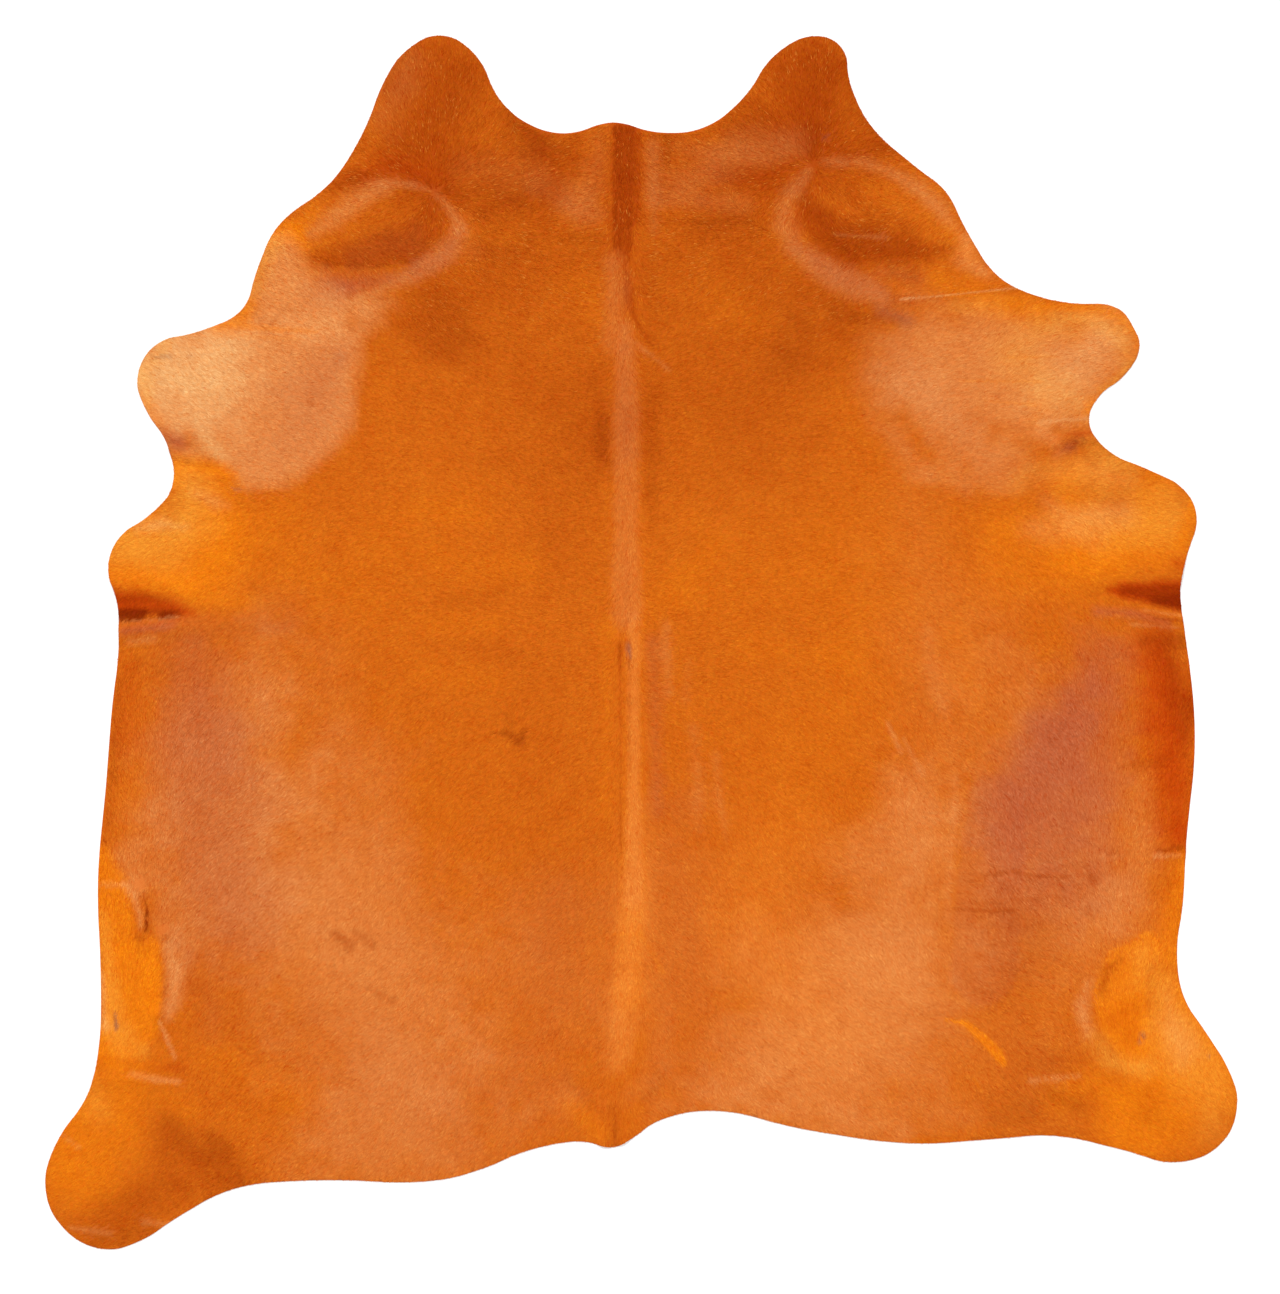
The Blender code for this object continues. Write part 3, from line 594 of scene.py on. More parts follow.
# %% Strokes of the flanks
FLANKS = (
    # The fold strokes are painted light: shade, core, between the cores, second core, upper shade
    # and under are painted shade on the side of the fold away from the light, and the lips and the
    # stroke below the fold are painted highlights on the lit side.
    ("left fold, shade", "rust", 85, 30,
        ((-920, 68, 22), (-870, 66, 18), (-820, 58, 12), (-785, 50, 2))),
    ("left fold, core", "umber", 85, 10, ((-925, 45, 12), (-880, 46, 11), (-870, 50, 6))),
    ("left fold, between the cores", "umber", 45, 12, ((-870, 52, 7), (-812, 50, 6))),
    ("left fold, second core", "umber", 75, 10, ((-838, 45, 7), (-825, 46, 6))),
    ("left fold, upper shade", "umber", 30, 22, ((-925, 76, 5), (-860, 76, 5), (-835, 70, 2))),
    ("left fold, under", "mauve", 62, 22, ((-905, 18, 9), (-870, 22, 8), (-820, 28, 5))),
    ("left fold, lip", "apricot", 25, 4, ((-915, 34, 1.2), (-893, 34, 1.2))),
    ("left fold, second lip", "apricot", 32, 4, ((-892, 37, 1.2), (-833, 40, 1.2))),
    ("left fold, third lip", "apricot", 28, 4, ((-832, 43, 1.2), (-808, 43, 0.8))),
    ("left, below the fold", "apricot", 42, 20, ((-895, -1, 5), (-855, 4, 6))),
    ("left, below the foreleg", "mauve", 30, 80, ((-720, 20, 10), (-600, 30, 10))),
    ("left edge", "chestnut", 30, 40, ((-905, -50, 10), (-918, -200, 8), (-938, -320, 5))),
    ("left edge, red", "rust", 30, 50, ((-895, -50, 12), (-900, -170, 14))),
    ("left edge, warm", "amber", 6, 50, ((-870, -60, 10), (-870, -200, 15), (-890, -320, 10))),
    ("left edge, rim", "umber", 15, 20, ((-915, -70, 4), (-930, -340, 4))),
    ("left edge, mark", "umber", 50, 10, ((-940, -350, 5),)),
    ("left edge, small mark", "umber", 30, 10, ((-930, -230, 3), (-915, -245, 3))),
    ("left belly, pale", "apricot", 12, 60, ((-580, -200, 10), (-570, -320, 10))),
    ("left belly, outer side", "apricot", 28, 100,
        ((-860, -280, 20), (-840, -400, 30), (-800, -500, 20))),
    ("left belly, pink corner", "apricot", 35, 50, ((-905, -380, 8), (-880, -430, 15))),
    ("left belly, pale streak", "apricot", 20, 20, ((-570, -200, 4), (-575, -300, 4))),
    ("left belly, second streak", "apricot", 18, 20, ((-520, -220, 3), (-520, -280, 3))),
    ("left, front of the belly", "chestnut", 20, 40,
        ((-870, -40, 6), (-790, -50, 4), (-720, -30, 3))),
    # The right fold's shade, core, darkest, end, under and dark stripe are painted shade, and its
    # two lips are painted highlights.
    ("right fold, shade", "rust", 88, 18,
        ((820, 90, 6), (845, 89, 17), (880, 87, 20), (945, 81, 28))),
    ("right fold, core", "umber", 50, 14, ((845, 89, 10), (880, 86, 15), (945, 79, 22))),
    ("right fold, darkest", "umber", 60, 14, ((900, 73, 10), (945, 70, 15))),
    ("right fold, end", "chestnut", 16, 25, ((775, 88, 4), (815, 87, 10))),
    ("right fold, under", "mauve", 62, 26, ((800, 53, 8), (860, 50, 7), (920, 33, 5))),
    ("right fold, lip", "apricot", 32, 8, ((880, 56, 2), (912, 50, 2), (950, 45, 2))),
    ("right fold, second lip", "apricot", 35, 8, ((860, 30, 2), (940, 24, 2))),
    ("right fold, dark stripe", "umber", 50, 10, ((900, 40, 2), (945, 36, 3))),
    ("right edge", "rust", 80, 80,
        ((905, -10, 30), (925, -100, 45), (930, -220, 40), (940, -330, 26))),
    ("right edge, low", "rust", 30, 60, ((890, -100, 10), (885, -200, 15))),
    ("right edge, deep", "umber", 38, 60, ((925, -30, 16), (950, -120, 24), (952, -170, 10))),
    ("right edge, band", "umber", 32, 25, ((885, 0, 10), (945, -2, 16))),
    ("right edge, lower band", "umber", 18, 20, ((860, -220, 6), (950, -200, 6))),
    ("right, pink glow", "apricot", 14, 50, ((880, -240, 10), (870, -360, 20))),
    # Painted shade in the nick of the right belly fold, and a painted highlight on its lip.
    ("right nick", "umber", 55, 10, ((905, -366, 1), (950, -360, 3))),
    ("right nick, shine", "apricot", 45, 10, ((900, -376, 2), (940, -374, 1))),
    ("right belly, crisp side", "mauve", 22, 12,
        ((620, -280, 47), (620, -350, 55), (610, -450, 60), (600, -580, 56))),
    ("right belly, pale border", "apricot", 24, 20,
        ((552, -240, 6), (545, -350, 6), (536, -480, 6))),
    ("right belly, brown", "chestnut", 30, 100,
        ((640, -480, 20), (700, -520, 40), (640, -620, 20))),
    ("right belly, small band", "chestnut", 45, 8, ((570, -419, 2), (590, -416, 2))),
    ("right belly, band", "chestnut", 60, 10,
        ((600, -410, 2), (655, -402, 3), (690, -411, 3), (745, -411, 4))),
    ("right belly, upper band", "chestnut", 40, 10, ((710, -398, 2), (780, -392, 2))),
    ("right belly, top band", "chestnut", 45, 8, ((815, -372, 2), (840, -370, 2))),
    ("right belly, blotch", "chestnut", 50, 16, ((785, -410, 5), (792, -420, 6))),
    ("right belly, second band", "chestnut", 60, 9,
        ((552, -468, 2), (600, -472, 3), (655, -470, 3))),
    ("right belly, band above", "chestnut", 45, 9, ((580, -458, 2), (625, -458, 2))),
    ("right belly, long band", "chestnut", 42, 10, ((650, -453, 2), (735, -448, 3))),
    ("right belly, second blotch", "chestnut", 40, 16, ((780, -470, 6), (790, -482, 5))),
    ("right belly, third band", "chestnut", 30, 14, ((640, -500, 3), (720, -492, 3))),
    ("right belly, fourth band", "chestnut", 25, 14, ((660, -545, 3), (750, -555, 3))),
    ("right belly, pale band", "apricot", 25, 12, ((680, -390, 2), (760, -380, 2), (840, -376, 2))),
)

# %% Strokes of the hind legs
HIND = (
    ("left edge strip", "amber", 60, 22,
        ((-955, -375, 24), (-940, -430, 40), (-920, -490, 36), (-920, -520, 38))),
    ("left thigh strip", "amber", 64, 18,
        ((-862, -538, 22), (-890, -575, 53), (-893, -660, 52), (-920, -710, 35))),
    ("left thigh strip, deep", "amber", 35, 20, ((-858, -550, 12), (-852, -640, 12))),
    ("left, cross ridge", "apricot", 35, 12, ((-945, -427, 3), (-895, -425, 3))),
    ("left edge, glow", "straw", 32, 30,
        ((-945, -480, 10), (-930, -580, 14), (-925, -660, 24), (-900, -710, 22), (-875, -715, 12))),
    ("left edge, rim of the strip", "honey", 28, 20, ((-945, -580, 2), (-938, -670, 6))),
    ("left, deep orange", "amber", 60, 30, ((-870, -560, 10), (-860, -640, 15))),
    # The crease and crease end strokes are painted shade in the left belly crease, and its shine is
    # a painted highlight.
    ("left, crease", "umber", 90, 7, ((-868, -450, 0.6), (-864, -472, 2.2), (-866, -505, 3.4))),
    ("left, crease shine", "apricot", 50, 16,
        ((-905, -425, 4), (-886, -445, 6), (-877, -475, 5), (-875, -500, 3))),
    ("left, crease end", "chestnut", 50, 8, ((-881, -510, 2), (-879, -550, 1))),
    ("left, second crease end", "chestnut", 50, 7, ((-871, -516, 2), (-870, -554, 1))),
    ("left, first square mark", "chestnut", 45, 6, ((-889, -421, 3), (-884, -423, 3))),
    ("left, second square mark", "chestnut", 40, 6, ((-833, -516, 3), (-828, -517, 3))),
    # The ridge strokes are painted highlights along the left thigh edge fold.
    ("left, ridge", "apricot", 55, 28,
        ((-826, -540, 6), (-816, -570, 13), (-818, -620, 13), (-828, -655, 8))),
    ("left, ridge end", "apricot", 55, 10, ((-842, -665, 3), (-816, -728, 2))),
    ("left, smudge", "smoke", 85, 12, ((-920, -650, 3), (-918, -675, 3))),
    # Painted shade in the left thigh crease, and a painted highlight on its lip.
    ("left, cross crease", "rust", 48, 18,
        ((-950, -732, 3), (-900, -735, 2), (-860, -745, 6), (-800, -745, 5))),
    ("left, cross shine", "apricot", 62, 14, ((-890, -757, 3), (-850, -766, 6), (-810, -770, 3))),
    ("left leg", "amber", 50, 100, ((-900, -770, 50), (-920, -860, 60), (-970, -920, 60))),
    ("left leg, edge", "amber", 34, 60, ((-960, -780, 20), (-1020, -880, 30), (-1030, -960, 20))),
    ("left leg, straw", "straw", 24, 60, ((-965, -785, 14), (-945, -820, 14))),
    ("left leg, warm corner", "amber", 32, 50, ((-865, -800, 12), (-840, -812, 12))),
    ("left leg, inner side", "chestnut", 64, 100,
        ((-830, -860, 20), (-780, -900, 35), (-720, -940, 25))),
    ("left leg, inner bar", "umber", 14, 60, ((-800, -870, 20), (-700, -930, 20))),
    ("left leg, brown", "chestnut", 24, 70, ((-860, -790, 20), (-820, -830, 30), (-850, -920, 20))),
    ("left leg, high streak", "apricot", 25, 12, ((-1010, -865, 2), (-985, -885, 2))),
    ("left foot", "chestnut", 50, 80, ((-960, -1030, 20), (-880, -980, 30), (-820, -960, 20))),
    ("left foot, deep", "umber", 20, 30, ((-950, -1050, 10), (-860, -1030, 10))),
    ("left foot, streak", "apricot", 25, 12, ((-1000, -1025, 3), (-930, -1035, 3))),
    ("left foot, small streak", "apricot", 25, 12, ((-870, -1015, 2), (-820, -1020, 2))),
    ("left thigh, glow", "amber", 20, 80, ((-750, -720, 20), (-600, -800, 30))),
    ("left thigh, bloom", "mauve", 16, 80, ((-760, -610, 20), (-750, -680, 20))),
    ("left thigh, pale", "apricot", 12, 100, ((-650, -770, 20), (-650, -640, 20))),
    ("left thigh, blotch", "umber", 18, 22, ((-830, -830, 6), (-808, -852, 8))),
    ("left thigh, second blotch", "umber", 16, 24, ((-755, -865, 8), (-728, -882, 10))),
    ("left thigh, corner glow", "amber", 35, 60, ((-830, -795, 20), (-790, -820, 20))),
    ("first smudge", "chestnut", 52, 16, ((-538, -512, 6), (-512, -530, 8))),
    ("second smudge", "chestnut", 42, 16, ((-500, -508, 4), (-470, -530, 7))),
    ("third smudge", "chestnut", 52, 16, ((-475, -608, 4), (-435, -628, 6))),
    ("right thigh, corner", "amber", 60, 14,
        ((885, -530, 20), (845, -570, 37), (838, -620, 47), (845, -660, 45), (860, -710, 30))),
    ("right crescent", "chestnut", 65, 20, ((838, -556, 6), (818, -575, 10), (803, -620, 4))),
    ("right thigh, glow", "straw", 26, 40, ((880, -545, 12), (865, -600, 10))),
    ("right thigh, deep orange", "amber", 60, 40, ((840, -650, 20), (860, -680, 15))),
    ("right thigh, oval", "rust", 30, 30, ((830, -665, 18), (860, -650, 22), (860, -685, 16))),
    ("right thigh, pale side", "straw", 30, 50, ((902, -610, 10), (902, -700, 14))),
    ("right leg", "amber", 60, 80, ((930, -620, 50), (960, -760, 90), (880, -830, 70))),
    ("right leg, straw", "straw", 30, 70,
        ((910, -600, 20), (940, -680, 40), (990, -780, 40), (1000, -840, 20))),
    ("right edge strip", "amber", 50, 40, ((955, -380, 10), (940, -450, 20), (930, -540, 25))),
    ("right edge strip, deep", "rust", 12, 40, ((926, -415, 8), (920, -470, 10))),
    ("right leg, pale", "honey", 15, 60, ((920, -620, 6), (930, -670, 20), (950, -720, 15))),
    ("right leg, deep orange", "chestnut", 16, 60, ((820, -780, 20), (900, -840, 20))),
    ("right leg, inner glow", "amber", 40, 60, ((730, -800, 15), (800, -765, 25), (840, -800, 20))),
    ("right rim", "apricot", 50, 30, ((780, -600, 6), (772, -635, 12), (780, -685, 6))),
    ("right, above the rim", "apricot", 28, 60, ((840, -440, 20), (820, -500, 20))),
    ("right, beside the rim", "apricot", 14, 60, ((765, -475, 12), (760, -530, 12))),
    ("right, pale cross", "straw", 45, 40, ((820, -735, 6), (880, -745, 14))),
    ("right, above the cross", "straw", 35, 50, ((800, -700, 12), (810, -720, 12))),
    ("right, smudge", "smoke", 60, 14, ((878, -690, 4), (874, -700, 3))),
    ("right foot, fleck", "smoke", 50, 6, ((993, -726, 2),)),
    ("right thigh, deep", "chestnut", 25, 50, ((680, -740, 12), (760, -735, 10))),
    ("right thigh, pale streak", "apricot", 35, 14, ((684, -768, 3), (767, -760, 3))),
    ("right thigh, blotches", "umber", 24, 30, ((720, -795, 8), (765, -810, 10))),
    ("right thigh, deeper", "umber", 14, 50, ((630, -830, 15), (680, -820, 15))),
    ("right belly, second streak", "chestnut", 26, 12, ((610, -532, 2), (680, -528, 2))),
    ("right belly, third streak", "chestnut", 30, 14, ((600, -575, 3), (690, -578, 2))),
    ("right belly, fourth streak", "chestnut", 24, 12, ((580, -612, 2), (660, -618, 2))),
    ("scar", "amber", 76, 8,
        ((535, -662, 2), (570, -668, 6), (600, -695, 9), (628, -725, 10), (635, -737, 6))),
    ("small scar", "amber", 50, 8, ((583, -765, 1), (595, -785, 1))),
    ("dot", "umber", 35, 10, ((273, -622, 3),)),
)

# %% Strokes of the back line and the tail
BACK = (
    ("dark strip", "chestnut", 90, 8, ((-26, 900, 27), (-26, 745, 26))),
    ("dark strip, hind part", "chestnut", 80, 8, ((-32, 745, 20), (-32, 697, 20))),
    ("dark strip, left lane", "umber", 34, 8, ((-40, 900, 9), (-40, 690, 8))),
    ("dark strip, right lane", "umber", 31, 10, ((-20, 900, 10), (-21, 690, 6))),
    ("squiggle", "chestnut", 80, 10,
        ((-26, 690, 8), (-24, 650, 5), (-24, 630, 6), (-22, 610, 8), (-20, 590, 7), (-14, 572, 5),
         (-4, 552, 4), (8, 535, 3), (20, 520, 2))),
    ("pale beside the squiggle", "apricot", 16, 40, ((-50, 660, 14), (-48, 520, 18))),
    ("mauve beside the squiggle", "mauve", 8, 50, ((-45, 660, 12), (-40, 520, 14))),
    # The pale lines along the back are painted sheen where the hair parts at the back line.
    ("pale line, front", "apricot", 17, 22, ((-28, 550, 12), (-26, 450, 20), (-25, 50, 24))),
    ("pale line, loin", "apricot", 26, 16, ((-12, 40, 8), (-12, -200, 11), (-14, -450, 14))),
    ("warm line, loin", "amber", 26, 22,
        ((-10, 30, 10), (-12, -120, 12), (-14, -450, 20), (-26, -620, 26))),
    ("pale line, rump", "apricot", 16, 40, ((-16, -460, 12), (-30, -620, 20), (-40, -740, 12))),
    ("warm line, rump", "amber", 22, 40, ((-16, -460, 10), (-30, -620, 18), (-40, -740, 10))),
    ("mauve on the line", "mauve", 12, 30, ((-30, 520, 8), (-28, 320, 10))),
    ("mauve behind the withers", "mauve", 10, 20, ((-26, 160, 4), (-26, 20, 4))),
    ("pale V", "apricot", 22, 12, ((-20, 530, 2), (35, 490, 3), (50, 475, 2))),
    ("left of the line", "chestnut", 48, 50, ((-80, 460, 8), (-72, 330, 12), (-88, 250, 6))),
    ("left of the line, deep", "umber", 26, 30, ((-70, 385, 6), (-68, 325, 8))),
    ("right of the line", "chestnut", 48, 40, ((20, 440, 8), (18, 300, 10), (20, 190, 4))),
    ("dark thread", "chestnut", 75, 8, ((-37, -5, 1), (-36, -370, 1))),
    ("second thread", "chestnut", 25, 10, ((-20, -60, 1), (-20, -220, 1))),
    ("mauve right of the line", "mauve", 35, 40, ((22, 0, 6), (28, -300, 10))),
    ("pale left of the line", "amber", 18, 30, ((-60, 30, 8), (-65, -300, 10))),
    ("spot", "smoke", 60, 10, ((-22, -5, 3), (-20, -25, 3))),
    ("spot, tail", "umber", 40, 6, ((-21.5, -28, 1.5), (-20.5, -50, 1))),
    ("beside the spot", "chestnut", 30, 12, ((-38, -5, 4), (-38, -45, 3))),
    ("streak one", "apricot", 24, 30, ((46, 30, 2), (45, -20, 6), (50, -90, 1))),
    ("streak two", "apricot", 12, 30, ((85, -30, 1), (78, -100, 3))),
    ("streak three", "apricot", 18, 35, ((92, -150, 1), (98, -220, 5), (103, -330, 1))),
    ("streak four", "apricot", 20, 30, ((132, -200, 1), (136, -260, 4), (150, -350, 1))),
    ("streak five", "apricot", 16, 40, ((500, 20, 4), (508, -60, 6), (535, -130, 6))),
    ("streak six", "apricot", 60, 18, ((432, -145, 3), (455, -190, 5))),
    ("streak seven", "apricot", 45, 18, ((460, -170, 3), (492, -230, 4))),
    ("shade beside the streaks", "chestnut", 25, 30, ((470, -80, 6), (520, -135, 6))),
    ("cross line", "amber", 35, 8, ((-50, -513, 1), (0, -513, 1))),
    ("bright hook", "amber", 30, 15, ((0, -510, 3), (40, -580, 3))),
    ("blot", "umber", 52, 16, ((-255, -163, 4), (-237, -160, 5), (-215, -176, 6), (-203, -160, 4))),
    ("blot, upper arm", "umber", 28, 14, ((-238, -130, 3), (-225, -145, 3))),
    ("tail, left shade", "umber", 15, 30, ((-130, -760, 4), (-95, -795, 6))),
    ("tail, left glow", "amber", 35, 40, ((-130, -810, 10), (-70, -860, 10))),
    ("tail, left pale", "apricot", 18, 80, ((-240, -840, 20), (-140, -800, 20))),
    ("tail, right shade", "umber", 15, 30, ((40, -750, 4), (10, -805, 6))),
    # Painted shade in the crease at the tail root.
    ("tail, crease", "umber", 40, 10, ((-45, -835, 2), (-45, -880, 3))),
    ("tail", "chestnut", 40, 30, ((-45, -820, 6), (-45, -870, 6))),
)

# %% All the strokes, in the order in which they are laid
LAYERS = (BROAD, NECK, WHORL_TONES, SHOULDERS, FLANKS, HIND, BACK)
WHOLE, METRE = 100, 1000  # a whole in percent, and a metre in millimetres
Stroke = namedtuple("Stroke", "dye strength soft spots")


def read_row(place, dye, strength, soft, spots):
    """The stroke of one row, in metres and shares. Its place is only there for the reader."""
    spots = [[size / METRE for size in spot] for spot in spots]
    return Stroke(dye, strength / WHOLE, soft / METRE, spots)


STROKES = [read_row(*row) for layer in LAYERS for row in layer]
print("strokes:", len(STROKES))

# %% Read the paint at any place
NO_LENGTH = 1e-12         # stands for the length of a stroke of one spot, which has none
REACH = 1.2               # a stroke ends within this many soft edges of its spots
RAGGED = 0.3              # how far clouds move its edge, as a share of the soft edge
COARSE_RAG, COARSE_SHARE = (0.09, 3), 0.6    # metres across and seed, and share of the two
FINE_RAG, FINE_SHARE = (0.022, 4), 0.4


def brush(x, y, spots):
    """How far each place is outside a stroke through spots of (x, y, radius)."""
    nearest = np.full(len(x), np.inf)
    ends = list(zip(spots, spots[1:])) or [(spots[0], spots[0])]
    for (x1, y1, r1), (x2, y2, r2) in ends:
        run_x, run_y = x2 - x1, y2 - y1
        along = ((x - x1) * run_x + (y - y1) * run_y) / max(run_x**2 + run_y**2, NO_LENGTH)
        along = np.clip(along, 0.0, 1.0)
        away = np.hypot(x - x1 - along * run_x, y - y1 - along * run_y)
        nearest = np.minimum(nearest, away - (r1 + along * (r2 - r1)))
    return nearest


def linear(rgb):
    """A screen colour of 0 to 255 as light, by the sRGB curve."""
    c = np.array(rgb) / 255.0
    return np.where(c <= 0.04045, c / 12.92, ((c + 0.055) / 1.055) ** 2.4)


def paint(x, y):
    """The colour of the hair at each place: the dye, with painted sheen, shade and highlights."""
    colour = np.tile(linear(COLOURS_OF_DYE_SHEEN_AND_SHADE["cognac"]), (len(x), 1))
    ragged = COARSE_SHARE * cloudy(x, y, *COARSE_RAG) + FINE_SHARE * cloudy(x, y, *FINE_RAG)
    for stroke in STROKES:
        spots = np.array(stroke.spots)
        reach = spots[:, 2].max() + REACH * stroke.soft
        low, high = spots[:, :2].min(0) - reach, spots[:, :2].max(0) + reach
        near = np.flatnonzero((x > low[0]) & (x < high[0]) & (y > low[1]) & (y < high[1]))
        outside = brush(x[near], y[near], stroke.spots) + RAGGED * stroke.soft * ragged[near]
        share = stroke.strength * (1.0 - smooth_step(outside / stroke.soft + 0.5))
        colour[near] += share[:, None] * (linear(COLOURS_OF_DYE_SHEEN_AND_SHADE[stroke.dye]) - colour[near])
    return colour


print("dye at the middle of the back:", paint(np.array([0.0]), np.array([0.0])))

# %% [markdown]
# ## Which way the hair lies
#
# On a cow the hair grows backwards along the spine and outwards over the ribs, leans more and
# more to the tail over the hind quarters, and turns in a full circle at a whorl on each side of
# the neck. The way a tuft lies decides where its tip is and how it catches the light. A few
# combing stations from neck to tail say how far the hair leans back, and the whorls come on top.

# %% Combing stations and whorls
Comb = namedtuple("Comb", "y near middle far edge")  # degrees towards the tail, from straight out
COMBS = (
    Comb(-0.95, 62, 45, 28, 28),
    Comb(-0.80, 58, 46, 40, 48),
    Comb(-0.70, 56, 46, 44, 95),
    Comb(-0.50, 52, 47, 48, 98),
    Comb(-0.35, 48, 48, 52, 100),
    Comb(-0.20, 32, 44, 55, 106),
    Comb(-0.10, 24, 40, 52, 102),
    Comb(+0.00, 4, 25, 52, 66),
    Comb(+0.10, -10, 16, 42, 30),
    Comb(+0.20, -12, 12, 28, 24),
    Comb(+0.30, -14, 0, -6, -6),
    Comb(+0.42, -12, -16, -26, -20),
    Comb(+0.52, -12, -24, -28, -12),
    Comb(+0.62, -12, -32, -24, -20),
    Comb(+0.72, 4, -44, -28, -20),
    Comb(+0.80, 16, -12, -8, 0),
    Comb(+0.86, 25, 0, 0, 0),
)
COMB_PLACES = (0.15, 0.45, 0.74, 0.92)   # metres from the back line: near, middle, far, edge
BACK_LINE = ((-0.90, -0.046), (-0.70, -0.020), (0.30, -0.026), (0.90, -0.029))  # y, x
BACK_LINE_HALF = 0.045             # metres from the back line over which the hair turns outwards
BACK_LINE_SHARE = 0.1              # of that, in which it lies straight along the line
TOWARDS_TAIL = 90.0                # degrees
SWAY, SWAY_CLOUD = 14.0, (0.07, 11)    # degrees either way, in clouds of this size and seed

WHORL_FADE = (0.62, 0.38)          # of its reach: where its pull begins to fade, and over how much
WHORL_MIDDLE = 1e-4                # hair nearer than this to its middle doesn't lie any one way
NO_WAY = 1e-6                      # shortest direction that can be brought to a length of 1
Whorl = namedtuple("Whorl", "place x y ahead behind across")
WHORLS = (
    Whorl("left", -0.362, +0.788, 0.36, 0.105, 0.19),
    Whorl("right", +0.300, +0.837, 0.32, 0.157, 0.19),
)


def rise(value, start, width):
    """A smooth rise from 0 at the start to 1 a width farther on, or back if it is below 0."""
    return smooth_step((value - start) / width)


def comb_direction(x, y):
    """Which way the hair lies at each place, as a unit vector in the plane of the hide."""
    spine_y, spine_x = zip(*BACK_LINE)
    from_spine = x - np.interp(y, spine_y, spine_x)
    side = np.where(from_spine < 0.0, -1.0, 1.0)
    away = np.abs(from_spine)
    rows, *columns = zip(*COMBS)
    leans = np.array([np.interp(y, rows, column) for column in columns])
    place = np.interp(away, COMB_PLACES, range(len(COMB_PLACES)))
    inner = np.minimum(place.astype(int), len(COMB_PLACES) - 2)
    share, here = place - inner, np.arange(len(x))
    lean = leans[inner, here] * (1.0 - share) + leans[inner + 1, here] * share
    outwards = smooth_step(away / BACK_LINE_HALF - BACK_LINE_SHARE)
    lean = TOWARDS_TAIL + (lean - TOWARDS_TAIL) * outwards
    lean = np.radians(lean + SWAY * cloudy(x, y, *SWAY_CLOUD))
    east, north = side * np.cos(lean), -np.sin(lean)
    for whorl in WHORLS:
        dx, dy = x - whorl.x, y - whorl.y
        reach = np.where(dy > 0.0, whorl.ahead, whorl.behind)
        radius = np.hypot(dx / whorl.across, dy / reach)
        pull = 1.0 - rise(radius, *WHORL_FADE)
        distance = np.maximum(np.hypot(dx, dy), WHORL_MIDDLE)
        east = east * (1.0 - pull) + dx / distance * pull
        north = north * (1.0 - pull) + dy / distance * pull
    size = np.maximum(np.hypot(east, north), NO_WAY)
    return east / size, north / size


print("hair at the left hip lies", comb_direction(np.array([-0.6]), np.array([-0.5])))

# %% [markdown]
# ## The skin
#
# Leather is one sheet with a cut edge. It could be a flat plane with a Solidify modifier, but an
# extrusion keeps the thickness upright at the cut. The outline is filled with one face, cut into
# squares, cut finer where a fold crosses, lifted onto the folds and extruded upwards.

# %% Sizes of the skin
SKIN_THICKNESS = 0.0016
WIDE_CUT = 0.020          # squares where the hide lies flat
FOLD_CUT = 0.006          # strips across a fold
SHORT_EDGE = 0.0006       # a shorter edge is not worth a corner


# %% Fill the outline and cut it into squares
def cut_across(mesh, faces, place, normal):
    """Cuts the given faces along an upright plane."""
    edges = {e for f in faces for e in f.edges}
    corners = {v for f in faces for v in f.verts}
    bmesh.ops.bisect_plane(
        mesh,
        geom=[*faces, *edges, *corners],
        dist=SHORT_EDGE,
        plane_co=place,
        plane_no=normal,
    )


skin = bmesh.new()
ring = [skin.verts.new((x, y, 0.0)) for x, y in outline]
skin.faces.new(ring)
for x in np.arange(hide_low.x + WIDE_CUT / 2, hide_high.x, WIDE_CUT):
    cut_across(skin, skin.faces[:], (x, 0, 0), (1, 0, 0))
for y in np.arange(hide_low.y + WIDE_CUT / 2, hide_high.y, WIDE_CUT):
    crossed = []
    for face in skin.faces:
        span = [v.co.y for v in face.verts]
        if min(span) < y < max(span):
            crossed.append(face)
    cut_across(skin, crossed, (0, y, 0), (0, 1, 0))
print("skin squares:", len(skin.faces))


# %% Cut finer across each fold
def cut_fold(mesh, fold):
    """Cuts strips along one fold, so that its bell of height comes out round."""
    length, ahead_x, ahead_y = crest(fold)
    aside_x, aside_y = -ahead_y, ahead_x
    margin = max(fold.left, fold.right)
    for offset in np.arange(-fold.right, fold.left + FOLD_CUT / 2, FOLD_CUT):
        x, y = fold.x1 + offset * aside_x, fold.y1 + offset * aside_y
        near = []
        for face in mesh.faces:
            middle = face.calc_center_median()
            along = (middle.x - x) * ahead_x + (middle.y - y) * ahead_y
            off = (middle.x - x) * aside_x + (middle.y - y) * aside_y
            if abs(off) < WIDE_CUT and -margin < along < length + margin:
                near.append(face)
        cut_across(mesh, near, (x, y, 0), (aside_x, aside_y, 0))


for fold in FOLDS:
    cut_fold(skin, fold)
print("skin faces with the folds cut:", len(skin.faces))

# %% Lift it onto the folds and give it its thickness
flat = np.array([v.co[:] for v in skin.verts])
heights = sheet_height(flat[:, 0], flat[:, 1])
for corner, height in zip(skin.verts, heights):
    corner.co.z = height
skin.normal_update()
if sum(f.normal.z for f in skin.faces) < 0:
    bmesh.ops.reverse_faces(skin, faces=skin.faces[:])
raised = bmesh.ops.extrude_face_region(skin, geom=skin.faces[:], use_keep_orig=True)
top = [g for g in raised["geom"] if isinstance(g, bmesh.types.BMVert)]
bmesh.ops.translate(skin, verts=top, vec=(0, 0, SKIN_THICKNESS))
bmesh.ops.recalc_face_normals(skin, faces=skin.faces[:])
print("skin faces on both sides and round the edge:", len(skin.faces))

